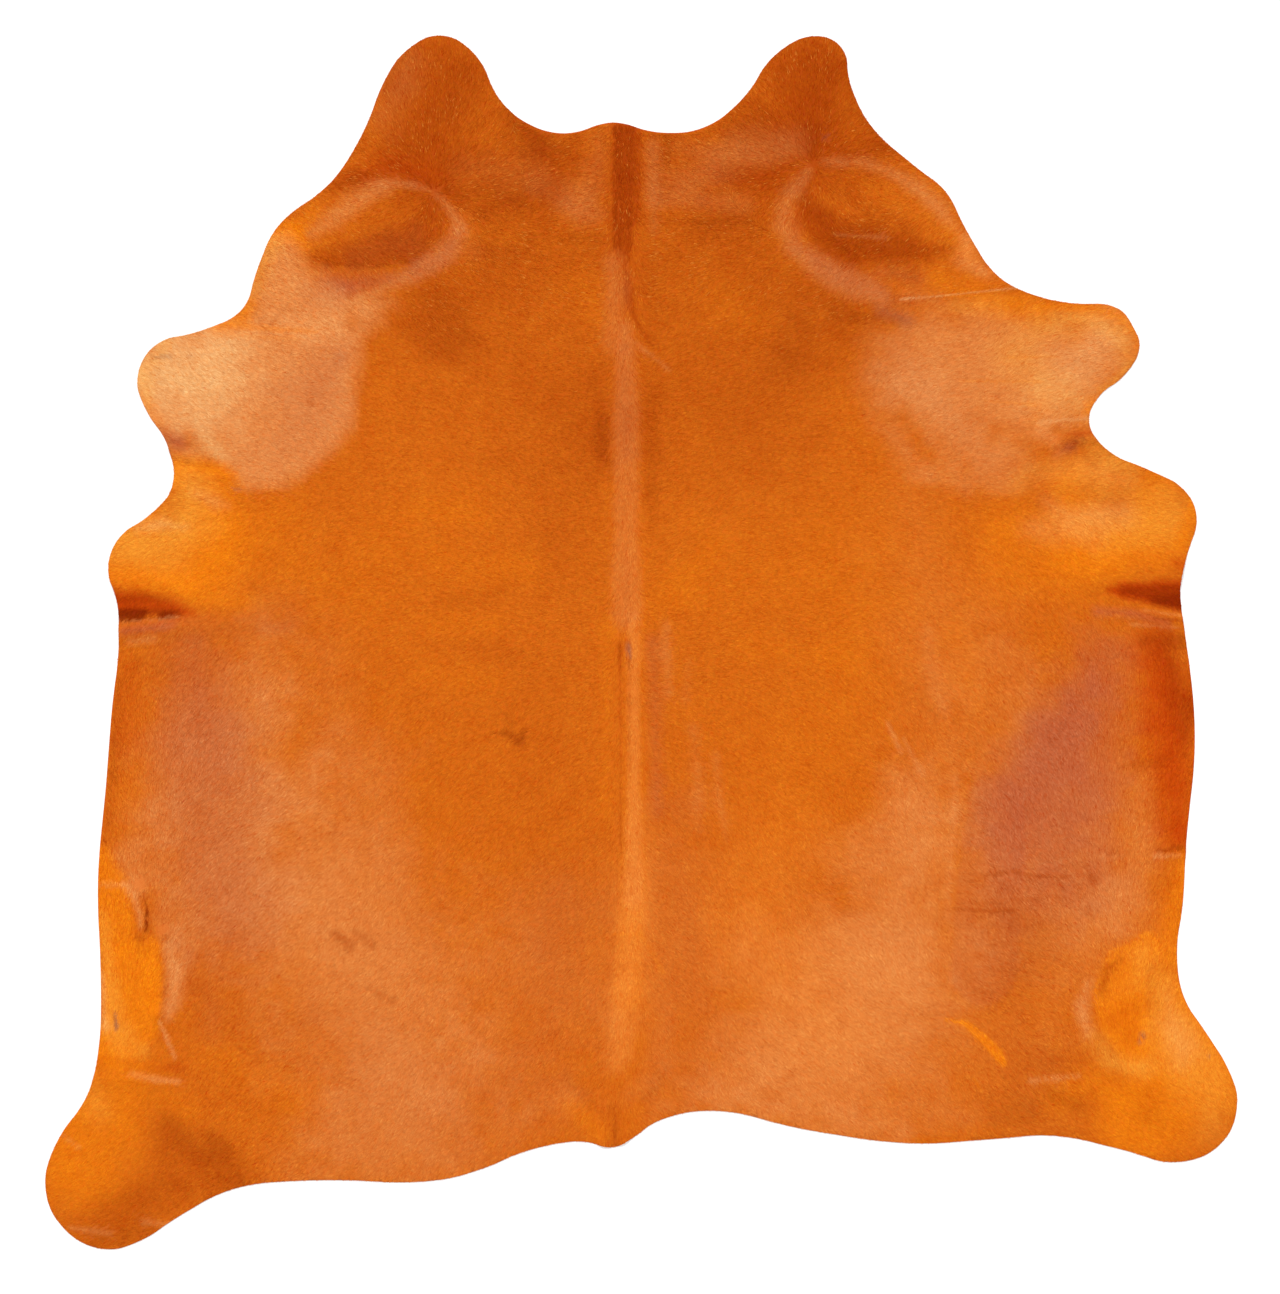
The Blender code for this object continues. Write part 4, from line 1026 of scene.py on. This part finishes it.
# %% Mark the hair side, the flesh side and the cut edge
HAIR_SIDE, FLESH_SIDE, CUT_EDGE = 0, 1, 2
STEEP = 0.3               # a face whose normal has less height than this is the cut edge
for face in skin.faces:
    face.smooth = abs(face.normal.z) > STEEP
    if face.normal.z > STEEP:
        face.material_index = HAIR_SIDE
    elif face.normal.z < -STEEP:
        face.material_index = FLESH_SIDE
    else:
        face.material_index = CUT_EDGE


# %% Make the skin an object
def add_object(name, data):
    """A new object in the scene for a mesh, a light or a camera."""
    made = bpy.data.objects.new(name, data)
    bpy.context.scene.collection.objects.link(made)
    return made


skin_mesh = bpy.data.meshes.new("skin")
skin.to_mesh(skin_mesh)
skin.free()
pattern.free()
skin_piece = add_object("skin", skin_mesh)
print("skin:", len(skin_mesh.polygons), "faces,", len(skin_mesh.vertices), "corners")


# %% Keep the dye, with its painted sheen and shade, on the skin as an attribute
def store(mesh, name, kind, domain, values):
    """Stores one value or vector for each point or face of a mesh."""
    attribute = mesh.attributes.new(name, kind, domain)
    attribute.data.foreach_set("vector" if kind == "FLOAT_VECTOR" else "value", np.ravel(values))


skin_corners = np.array([v.co[:] for v in skin_mesh.vertices])
store(skin_mesh, "dye", "FLOAT_VECTOR", "POINT", paint(skin_corners[:, 0], skin_corners[:, 1]))
print("attributes on the skin:", len(skin_mesh.attributes))

# %% [markdown]
# ## The coat
#
# Cow hair is 10 to 15 mm long here, of which the outer part shows, and it grows in tufts of a few
# hairs that stick together. A hair particle system would do, but it is not a mesh and can't leave
# Blender. So each tuft is made of flat tapered slivers, one triangle each, about 900,000 of them
# in a few joined meshes built from arrays. One sliver stands for a few hairs side by side. Slivers
# of a tuft start apart and lean together at the tip, and each takes the dye, painted sheen and
# shade of the place it covers.

# %% Sizes of the coat
COAT_SEED = 41
TUFT_SPACING = 0.0056
SLIVERS = 9               # in a tuft
HAIR_LENGTH = (0.0070, 0.0098)   # of the part that shows, for a whole tuft
SLIVER_SHARE = (0.85, 1.1)       # of that, for each of its slivers
SLIVER_WIDTH = (0.0011, 0.0017)
ROOT_SPREAD = 0.0034      # how far a root may be from the middle of its tuft
GATHER = 0.60             # how much of that is left at the tip
SWERVE = 8.0              # degrees that one tuft turns from its neighbours
LOFT = (0.0003, 0.0007)   # how far a tuft's tips stand above the skin
LOFT_SPREAD = 0.0002      # how far one tip of a tuft is above or below the others
ROLL = 0.00004            # how far one side of a root is above the other
TUFT_SHARE = 0.20         # of the difference in shade, what a whole tuft has in common
FRINGE = (-0.0005, 0.0012)       # how far hair reaches past the cut; below 0 it ends before it
BARE_RIM = 0.0006         # no hair is rooted nearer to the cut than this
SHORTEST = 0.25           # of its length, for hair that the knife cut
# the colour read there is the dye with its painted sheen and shade
TONE_PLACE = 0.6          # the dye is read this far along a sliver


# %% Set out the tufts
def set_out(spacing, rng):
    """Jittered places, one in each square of the spacing, that are on the hide."""
    x = np.arange(hide_low.x, hide_high.x, spacing)
    y = np.arange(hide_low.y, hide_high.y, spacing)
    x, y = (c.ravel() + rng.uniform(0.0, spacing, c.size) for c in np.meshgrid(x, y))
    on_hide = read_chart(depth_chart, x, y) > 0.0
    return x[on_hide], y[on_hide]


rng = np.random.default_rng(COAT_SEED)
tuft_x, tuft_y = set_out(TUFT_SPACING, rng)
print("tufts:", len(tuft_x), "slivers:", len(tuft_x) * SLIVERS)


# %% How uneven the coat is
NECK_Y = (0.40, 0.40)     # where the neck begins, and how far on it is all neck
BELLY_X = (0.50, 0.15)    # the same for the belly, outwards from the middle
BELLY_Y = (0.05, -0.10)   # and towards the tail
LEG_X = (0.75, 0.10)      # the same for the hind legs
LEG_Y = (-0.55, -0.10)
NECK_MORE, BELLY_MORE, LEG_LESS = 0.3, 0.3, 0.4    # how much it changes the difference


def unevenness(x, y):
    """How much the slivers differ: more on the neck and belly, and less on the hind legs."""
    neck = rise(y, *NECK_Y)
    belly = rise(np.abs(x), *BELLY_X) * rise(y, *BELLY_Y)
    legs = rise(y, *LEG_Y) * rise(np.abs(x), *LEG_X)
    return 1.0 + NECK_MORE * neck + BELLY_MORE * belly - LEG_LESS * legs


# %% Grow the slivers of each tuft
def grow(tuft_x, tuft_y, rng):
    """Roots, tips and shade of every sliver, each an array of tufts by slivers."""
    shape = (len(tuft_x), SLIVERS)
    east, north = comb_direction(tuft_x, tuft_y)
    turn = np.radians(rng.normal(0.0, SWERVE, len(tuft_x)))
    ahead_x = east * np.cos(turn) - north * np.sin(turn)
    ahead_y = east * np.sin(turn) + north * np.cos(turn)
    length = rng.uniform(*HAIR_LENGTH, len(tuft_x))[:, None] * rng.uniform(*SLIVER_SHARE, shape)
    off_x = rng.uniform(-ROOT_SPREAD, ROOT_SPREAD, shape)
    off_y = rng.uniform(-ROOT_SPREAD, ROOT_SPREAD, shape)
    root_x, root_y = tuft_x[:, None] + off_x, tuft_y[:, None] + off_y
    tip_x = tuft_x[:, None] + GATHER * off_x + ahead_x[:, None] * length
    tip_y = tuft_y[:, None] + GATHER * off_y + ahead_y[:, None] * length
    shade = TUFT_SHARE * rng.normal(0.0, 1.0, len(tuft_x))[:, None] + rng.normal(0.0, 1.0, shape)
    shade = shade * unevenness(tuft_x, tuft_y)[:, None]
    loft = rng.uniform(*LOFT, len(tuft_x))[:, None]
    loft = loft + rng.uniform(-LOFT_SPREAD, LOFT_SPREAD, shape)
    return [a.ravel() for a in (root_x, root_y, tip_x, tip_y, shade, loft)]


root_x, root_y, tip_x, tip_y, shade, loft = grow(tuft_x, tuft_y, rng)
tuft_of = np.repeat(np.arange(len(tuft_x)), SLIVERS)
print("longest sliver:", float(np.hypot(tip_x - root_x, tip_y - root_y).max()))

# %% Trim the hair at the cut
root_depth = read_chart(depth_chart, root_x, root_y)
tip_depth = read_chart(depth_chart, tip_x, tip_y)
fringe = rng.uniform(*FRINGE, len(root_x))
over = tip_depth < -fringe
kept_share = np.ones(len(root_x))
kept_share[over] = (root_depth[over] + fringe[over]) / (root_depth[over] - tip_depth[over])
kept_share = np.clip(kept_share, SHORTEST, 1.0)
tip_x = root_x + (tip_x - root_x) * kept_share
tip_y = root_y + (tip_y - root_y) * kept_share
rooted = root_depth > BARE_RIM
print("slivers on the hide:", int(rooted.sum()), "trimmed:", int((over & rooted).sum()))

# %% The dye, painted sheen and shade of each sliver, and pale single hairs on the neck
PALE_HAIR = (228, 130, 48)
PALE_MIX = 0.6
PALE_ODDS = 0.04          # in the middle of a scatter of them
PALE_CLOUD = (0.030, 21)  # metres across a scatter, and seed
PALE_PATCHES, PALE_EVEN = 0.6, 0.4   # how much they keep to the scatters, and how much not
PALE_Y = (0.42, 0.25)     # where they begin, and over how much they come in
PALE_LOFT = 0.0004        # they lie on top of the others

run_x, run_y = tip_x - root_x, tip_y - root_y
dye = paint(root_x + TONE_PLACE * run_x, root_y + TONE_PLACE * run_y)
scatter = smooth_step(PALE_PATCHES * cloudy(tip_x, tip_y, *PALE_CLOUD) + PALE_EVEN)
pale = rng.random(len(tip_x)) < PALE_ODDS * scatter * rise(tip_y, *PALE_Y)
dye[pale] += PALE_MIX * (linear(PALE_HAIR) - dye[pale])
loft = loft + PALE_LOFT * pale
print("pale hairs:", int(pale.sum()))

# %% The three corners of each sliver
NO_RUN = 1e-5             # a sliver this short still needs a length to divide by

run = np.maximum(np.hypot(run_x, run_y), NO_RUN)
half = 0.5 * rng.uniform(*SLIVER_WIDTH, len(root_x))
side_x, side_y = -run_y / run * half, run_x / run * half
roll = rng.uniform(-ROLL, ROLL, len(root_x))
root_z = sheet_height(root_x, root_y) + SKIN_THICKNESS
tip_z = sheet_height(tip_x, tip_y) + SKIN_THICKNESS + loft
slivers = np.stack(
    [
        np.stack([root_x - side_x, root_y - side_y, root_z - roll], axis=-1),
        np.stack([root_x + side_x, root_y + side_y, root_z + roll], axis=-1),
        np.stack([tip_x, tip_y, tip_z], axis=-1),
    ],
    axis=1,
)
facing = np.cross(slivers[:, 1] - slivers[:, 0], slivers[:, 2] - slivers[:, 0])[:, 2]
slivers[facing < 0] = slivers[facing < 0][:, [1, 0, 2]]
print("sliver corners:", slivers.shape)

# %% [markdown]
# ### One mesh for each part of the coat
#
# A mesh of 900,000 slivers is more than one piece should hold, so the coat is divided as a
# furrier names a hide: neck, shoulders, back, loin and rump. Each part gets the tufts between two
# lines across the hide, so that no tuft is divided. A flat map from above is kept as UVs.

# %% Join the slivers of each part
PARTS = ("neck", "shoulders", "back", "loin", "rump")


def flat_map(mesh, points):
    """A UV map from straight above, filled by the piece's own box."""
    low, high = points[:, :2].min(axis=0), points[:, :2].max(axis=0)
    on_map = (points[:, :2] - low) / (high - low)
    layer = mesh.uv_layers.new(name="OFBake")
    corner_point = np.zeros(len(mesh.loops), int)
    mesh.loops.foreach_get("vertex_index", corner_point)
    layer.uv.foreach_set("vector", on_map[corner_point].ravel())


def coat_part(name, chosen):
    """One joined mesh of the chosen slivers, with their dye, painted sheen and shade, and their own
    random shade.
    """
    points = slivers[chosen].reshape(-1, 3)
    faces = np.arange(len(points)).reshape(-1, 3)
    mesh = bpy.data.meshes.new("hair_" + name)
    mesh.from_pydata(points, [], faces)
    flat_map(mesh, points)
    store(mesh, "dye", "FLOAT_VECTOR", "FACE", dye[chosen])
    store(mesh, "shade", "FLOAT", "FACE", shade[chosen])
    store(mesh, "along", "FLOAT", "POINT", np.tile([0.0, 0.0, 1.0], len(faces)))
    piece = add_object("hair_" + name, mesh)
    print(piece.name, len(faces), "slivers")
    return piece


tuft_line = np.quantile(tuft_y, np.linspace(1.0, 0.0, len(PARTS) + 1))
coat = []
for name, far, near in zip(PARTS, tuft_line, tuft_line[1:]):
    in_part = (tuft_y <= far) & ((tuft_y > near) | (name == PARTS[-1]))
    coat.append(coat_part(name, np.flatnonzero(in_part[tuft_of] & rooted)))

# %% [markdown]
# ## Shader maths as Python
#
# A material is a tree of nodes. Built by hand in code it is long and hard to read, so one small
# class wraps a socket and gives it + - and *, and another makes any node in one line. After that
# a finish reads like the sentence that describes it.


# %% A node's output that Python can add and multiply
class Socket:
    """A node's output, on which + - and * add Math nodes."""

    def __init__(self, finish, output):
        self.finish = finish
        self.output = output

    def __add__(self, other):
        return self.finish.maths("ADD", self, other)

    def __sub__(self, other):
        return self.finish.maths("SUBTRACT", self, other)

    def __rsub__(self, other):
        return self.finish.maths("SUBTRACT", other, self)

    def __mul__(self, other):
        return self.finish.maths("MULTIPLY", self, other)

    __radd__ = __add__
    __rmul__ = __mul__


# %% A material and its nodes
class Finish:
    """One material and the nodes in it."""

    def __init__(self, name):
        self.material = bpy.data.materials.new(name)
        self.material.use_nodes = True
        self.tree = self.material.node_tree
        self.shader = self.tree.nodes["Principled BSDF"]

    def node(self, kind, settings=(), output=0, **values):
        """Adds a node with its settings, and a value or a link for each input; i0 is the first."""
        made = self.tree.nodes.new(kind)
        for name, setting in dict(settings).items():
            setattr(made, name, setting)
        for name, value in values.items():
            place = int(name[1:]) if name[1:].isdigit() else name
            self.join(made.inputs[place], value)
        return Socket(self, made.outputs[output])

    def join(self, socket, value):
        """Links a Socket, or sets a plain value."""
        if isinstance(value, Socket):
            self.tree.links.new(value.output, socket)
        else:
            socket.default_value = value

    def maths(self, operation, first, second):
        """One sum, difference or product."""
        return self.node("ShaderNodeMath", {"operation": operation}, i0=first, i1=second)

    def lightened(self, colour, amount):
        """A dyed colour with less dye where the amount is above 0, and more where it is below."""
        full = (1.0, 1.0, 1.0)
        settings = {"operation": "MULTIPLY_ADD"}
        gain = self.node("ShaderNodeVectorMath", settings, i0=DYE_FILTERS, i1=amount, i2=full)
        gain = self.node("ShaderNodeVectorMath", {"operation": "MAXIMUM"}, i0=gain, i1=LEAST_LIGHT)
        return self.filtered(colour, gain)

    def filtered(self, colour, gain):
        """A colour with its red, green and blue each made lighter or darker."""
        return self.node("ShaderNodeVectorMath", {"operation": "MULTIPLY"}, i0=colour, i1=gain)

    def mixed(self, share, first, second):
        """A colour between two others."""
        settings = {"data_type": "RGBA"}
        return self.node("ShaderNodeMix", settings, output=2, i0=share, i6=first, i7=second)

    def attribute(self, name, output="Fac"):
        """What is stored on the mesh under a name."""
        return self.node("ShaderNodeAttribute", {"attribute_name": name}, output=output)

    def noise(self, scale, detail=3.0, roughness=0.5):
        """Noise on the hide's own coordinates, from 0 to 1."""
        place = self.node("ShaderNodeTexCoord", output="Object")
        values = {"Scale": scale, "Detail": detail, "Roughness": roughness}
        return self.node("ShaderNodeTexNoise", output="Fac", Vector=place, **values)

    def bump(self, height, distance):
        """Feeds the shader a surface that rises by the distance where the height is 1."""
        values = {"Height": height, "Distance": distance, "Strength": 1.0}
        self.feed("Normal", self.node("ShaderNodeBump", output="Normal", **values))

    def rough(self, texture, least, spread):
        """Feeds the shader a roughness that a texture raises from its least."""
        self.feed("Roughness", texture * spread + least)

    def feed(self, name, value):
        """Sets or links one input of the shader."""
        self.join(self.shader.inputs[name], value)


# %% [markdown]
# ## Dyed hair
#
# Each hair takes the dye a little differently. Plain grey shades would look dusty, because a dye
# is a filter: where it is thin, much more green and blue come back but only a little more red. So
# one amount of lightness is turned into a different gain for each of the three. The broad colour,
# with its painted sheen and shade, comes from the brush strokes kept on every sliver; the nodes add
# the difference between hairs, clouds where the dye dried unevenly, a fine grain, and darker roots,
# partly painted shade under the coat and partly deeper dye. Light bounces between hairs and comes
# out redder and brighter, so a last gain for each channel makes up for that.

# %% Dyed hair
DYE_FILTERS = (1.0, 2.6, 3.8)     # how much a change in the dye moves red, green and blue
LEAST_LIGHT = (0.2, 0.2, 0.2)     # a deeply dyed hair still sends this share back
COAT_GAIN = (0.804, 0.901, 0.945)    # makes up for the light that bounces between hairs
NOISE_MEAN = 0.5          # taken off a noise, so that it lightens as often as it deepens
HAIR_SHADE = 0.054        # how much lighter or darker a sliver is than its neighbours
# the darker roots are partly painted shade under the coat and partly deeper dye
ROOT_SHADE = 0.08         # how much darker a root is than a tip
CLOUD_SHADE = 0.18        # how much the uneven drying of the dye changes it
GRAIN_SHADE = 0.26        # how much the colour changes within a sliver
SPECULAR_WARMTH = (1.0, 0.45, 0.15, 1.0)   # hair glints in the colour of its dye

hair = Finish("dyed_hair")
own_shade = hair.attribute("shade") * HAIR_SHADE
cloud = (hair.noise(scale=22.0, detail=5.0, roughness=0.6) - NOISE_MEAN) * CLOUD_SHADE
grain = (hair.noise(scale=520.0, detail=2.0) - NOISE_MEAN) * GRAIN_SHADE
root = (1.0 - hair.attribute("along")) * ROOT_SHADE
hair_tone_with_sheen_and_shade = hair.lightened(hair.attribute("dye", "Vector"), own_shade + cloud + grain - root)
hair.feed("Base Color", hair.filtered(hair_tone_with_sheen_and_shade, COAT_GAIN))
hair.rough(hair.noise(scale=60.0), least=0.42, spread=0.25)
hair.feed("Specular IOR Level", 0.04)
hair.feed("Specular Tint", SPECULAR_WARMTH)
print("nodes in the hair's finish:", len(hair.tree.nodes))

# %% [markdown]
# ## Leather under the hair
#
# Between the tufts the skin shows through, dyed like the hair and darkened with painted shade from
# the coat over it. The cut edge is bare leather fibre, paler inside than on its faces, and the
# flesh side is soft suede. The same node helpers make all three.

# %% Dyed skin under the coat, darkened with painted shade
# The skin is darker than the hair by this much: painted shade under the coat.
SKIN_SHADE = 0.07         # how much deeper the dye is on the skin than on the hair
PORE_SHADE = 0.3          # how much the pores change it

skin_finish = Finish("dyed_skin")
pores = skin_finish.noise(scale=700.0, detail=2.0)
skin_tone_with_sheen_and_shade = skin_finish.attribute("dye", "Vector")
skin_tone_with_sheen_and_shade = skin_finish.lightened(skin_tone_with_sheen_and_shade, (pores - NOISE_MEAN) * PORE_SHADE - SKIN_SHADE)
skin_finish.feed("Base Color", skin_finish.filtered(skin_tone_with_sheen_and_shade, COAT_GAIN))
skin_finish.rough(pores, least=0.55, spread=0.2)
skin_finish.bump(pores, distance=0.0002)
skin_finish.feed("Specular IOR Level", 0.03)

# %% Suede of the flesh side
SUEDE_PALE = (0.52, 0.26, 0.11, 1.0)
SUEDE_DEEP = (0.36, 0.15, 0.05, 1.0)
NAP_SHARE = 0.5           # how much the nap moves the colour from deep to pale
STAIN_SHARE = 0.6         # how much the stains do
SUEDE_DEPTH = 0.1         # how much less pale it is everywhere

suede = Finish("flesh_side_suede")
nap = suede.noise(scale=450.0, detail=4.0, roughness=0.65)
stains = suede.noise(scale=6.0, detail=3.0)
paleness = nap * NAP_SHARE + stains * STAIN_SHARE - SUEDE_DEPTH
suede.feed("Base Color", suede.mixed(paleness, SUEDE_DEEP, SUEDE_PALE))
suede.rough(nap, least=0.8, spread=0.15)
suede.bump(nap, distance=0.0008)
suede.feed("Sheen Weight", 0.25)

# %% Fibre of the cut edge
EDGE_PALE = (0.55, 0.22, 0.06, 1.0)
EDGE_DEEP = (0.28, 0.08, 0.015, 1.0)

edge = Finish("cut_edge")
fibre = edge.noise(scale=800.0, detail=4.0, roughness=0.7)
edge.feed("Base Color", edge.mixed(fibre, EDGE_DEEP, EDGE_PALE))
edge.rough(fibre, least=0.7, spread=0.2)
edge.bump(fibre, distance=0.0005)

for finish in (skin_finish, suede, edge):
    skin_mesh.materials.append(finish.material)
for part in coat:
    part.data.materials.append(hair.material)
print("finishes:", [m.name for m in skin_mesh.materials], hair.material.name)

# %% [markdown]
# ## What each piece stands for
#
# The solid stays in the frame for its weight and its contacts, and the skin stands for it. The
# coat rides on the same body.

# %% Put the pieces on the frame
for piece in (skin_piece, *coat):
    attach(piece, "root")
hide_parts("hide")

# %% [markdown]
# ## Floor, light and camera
#
# The hide lies on a plain white studio floor. One big soft light stands past the neck, so that
# the folds turn dark on the side of the tail, and the white sky fills the rest. The camera looks
# straight down from high up with a long lens, which keeps the outline's proportions.

# %% Floor
FLOOR_HALF = 40.0
FLOOR_DROP = 0.0003       # just under the hide, so that the two do not share a plane
FLOOR_WHITE = (0.88, 0.88, 0.88, 1.0)

ground = bmesh.new()
bmesh.ops.create_grid(ground, x_segments=1, y_segments=1, size=FLOOR_HALF)
bmesh.ops.translate(ground, verts=ground.verts[:], vec=(0, 0, -FLOOR_DROP))
ground_mesh = bpy.data.meshes.new("floor")
ground.to_mesh(ground_mesh)
ground.free()
floor = add_object("floor", ground_mesh)
paint_white = Finish("floor_paint")
paint_white.feed("Base Color", FLOOR_WHITE)
paint_white.feed("Roughness", 0.9)
ground_mesh.materials.append(paint_white.material)

# %% Sky and softbox
SKY_STRENGTH = 1.10
KEY_STRENGTH = 1.8
KEY_WIDTH = 18.0          # degrees across, as seen from the hide
KEY_HEIGHT = 42.0         # degrees above the floor
KEY_TURN = 12.0           # degrees from the neck towards the left

world = bpy.data.worlds.new("studio")
world.use_nodes = True
sky = world.node_tree.nodes["Background"]
sky.inputs["Color"].default_value = (1.0, 1.0, 1.0, 1.0)
sky.inputs["Strength"].default_value = SKY_STRENGTH
bpy.context.scene.world = world

key_data = bpy.data.lights.new("softbox", "SUN")
key_data.energy = KEY_STRENGTH
key_data.angle = math.radians(KEY_WIDTH)
key = add_object("softbox", key_data)
key.rotation_euler = (-math.radians(90.0 - KEY_HEIGHT), 0.0, math.radians(KEY_TURN))

# %% Camera
LENS = 85.0               # mm
SENSOR = 36.0             # mm, along the frame's long side
VIEW_LENGTH = 2.2645      # metres of floor along the frame's long side
VIEW_CENTRE = (-0.00175, -0.00875)

camera_data = bpy.data.cameras.new("camera")
camera_data.lens = LENS
camera_data.sensor_width = SENSOR
camera = add_object("camera", camera_data)
camera.location = (*VIEW_CENTRE, VIEW_LENGTH * LENS / SENSOR)
bpy.context.scene.camera = camera
bpy.context.scene.view_settings.view_transform = "Standard"

# %% [markdown]
# ## Last step
#
# The view layer is brought up to date.

# %% Bring the scene up to date
bpy.context.view_layer.update()
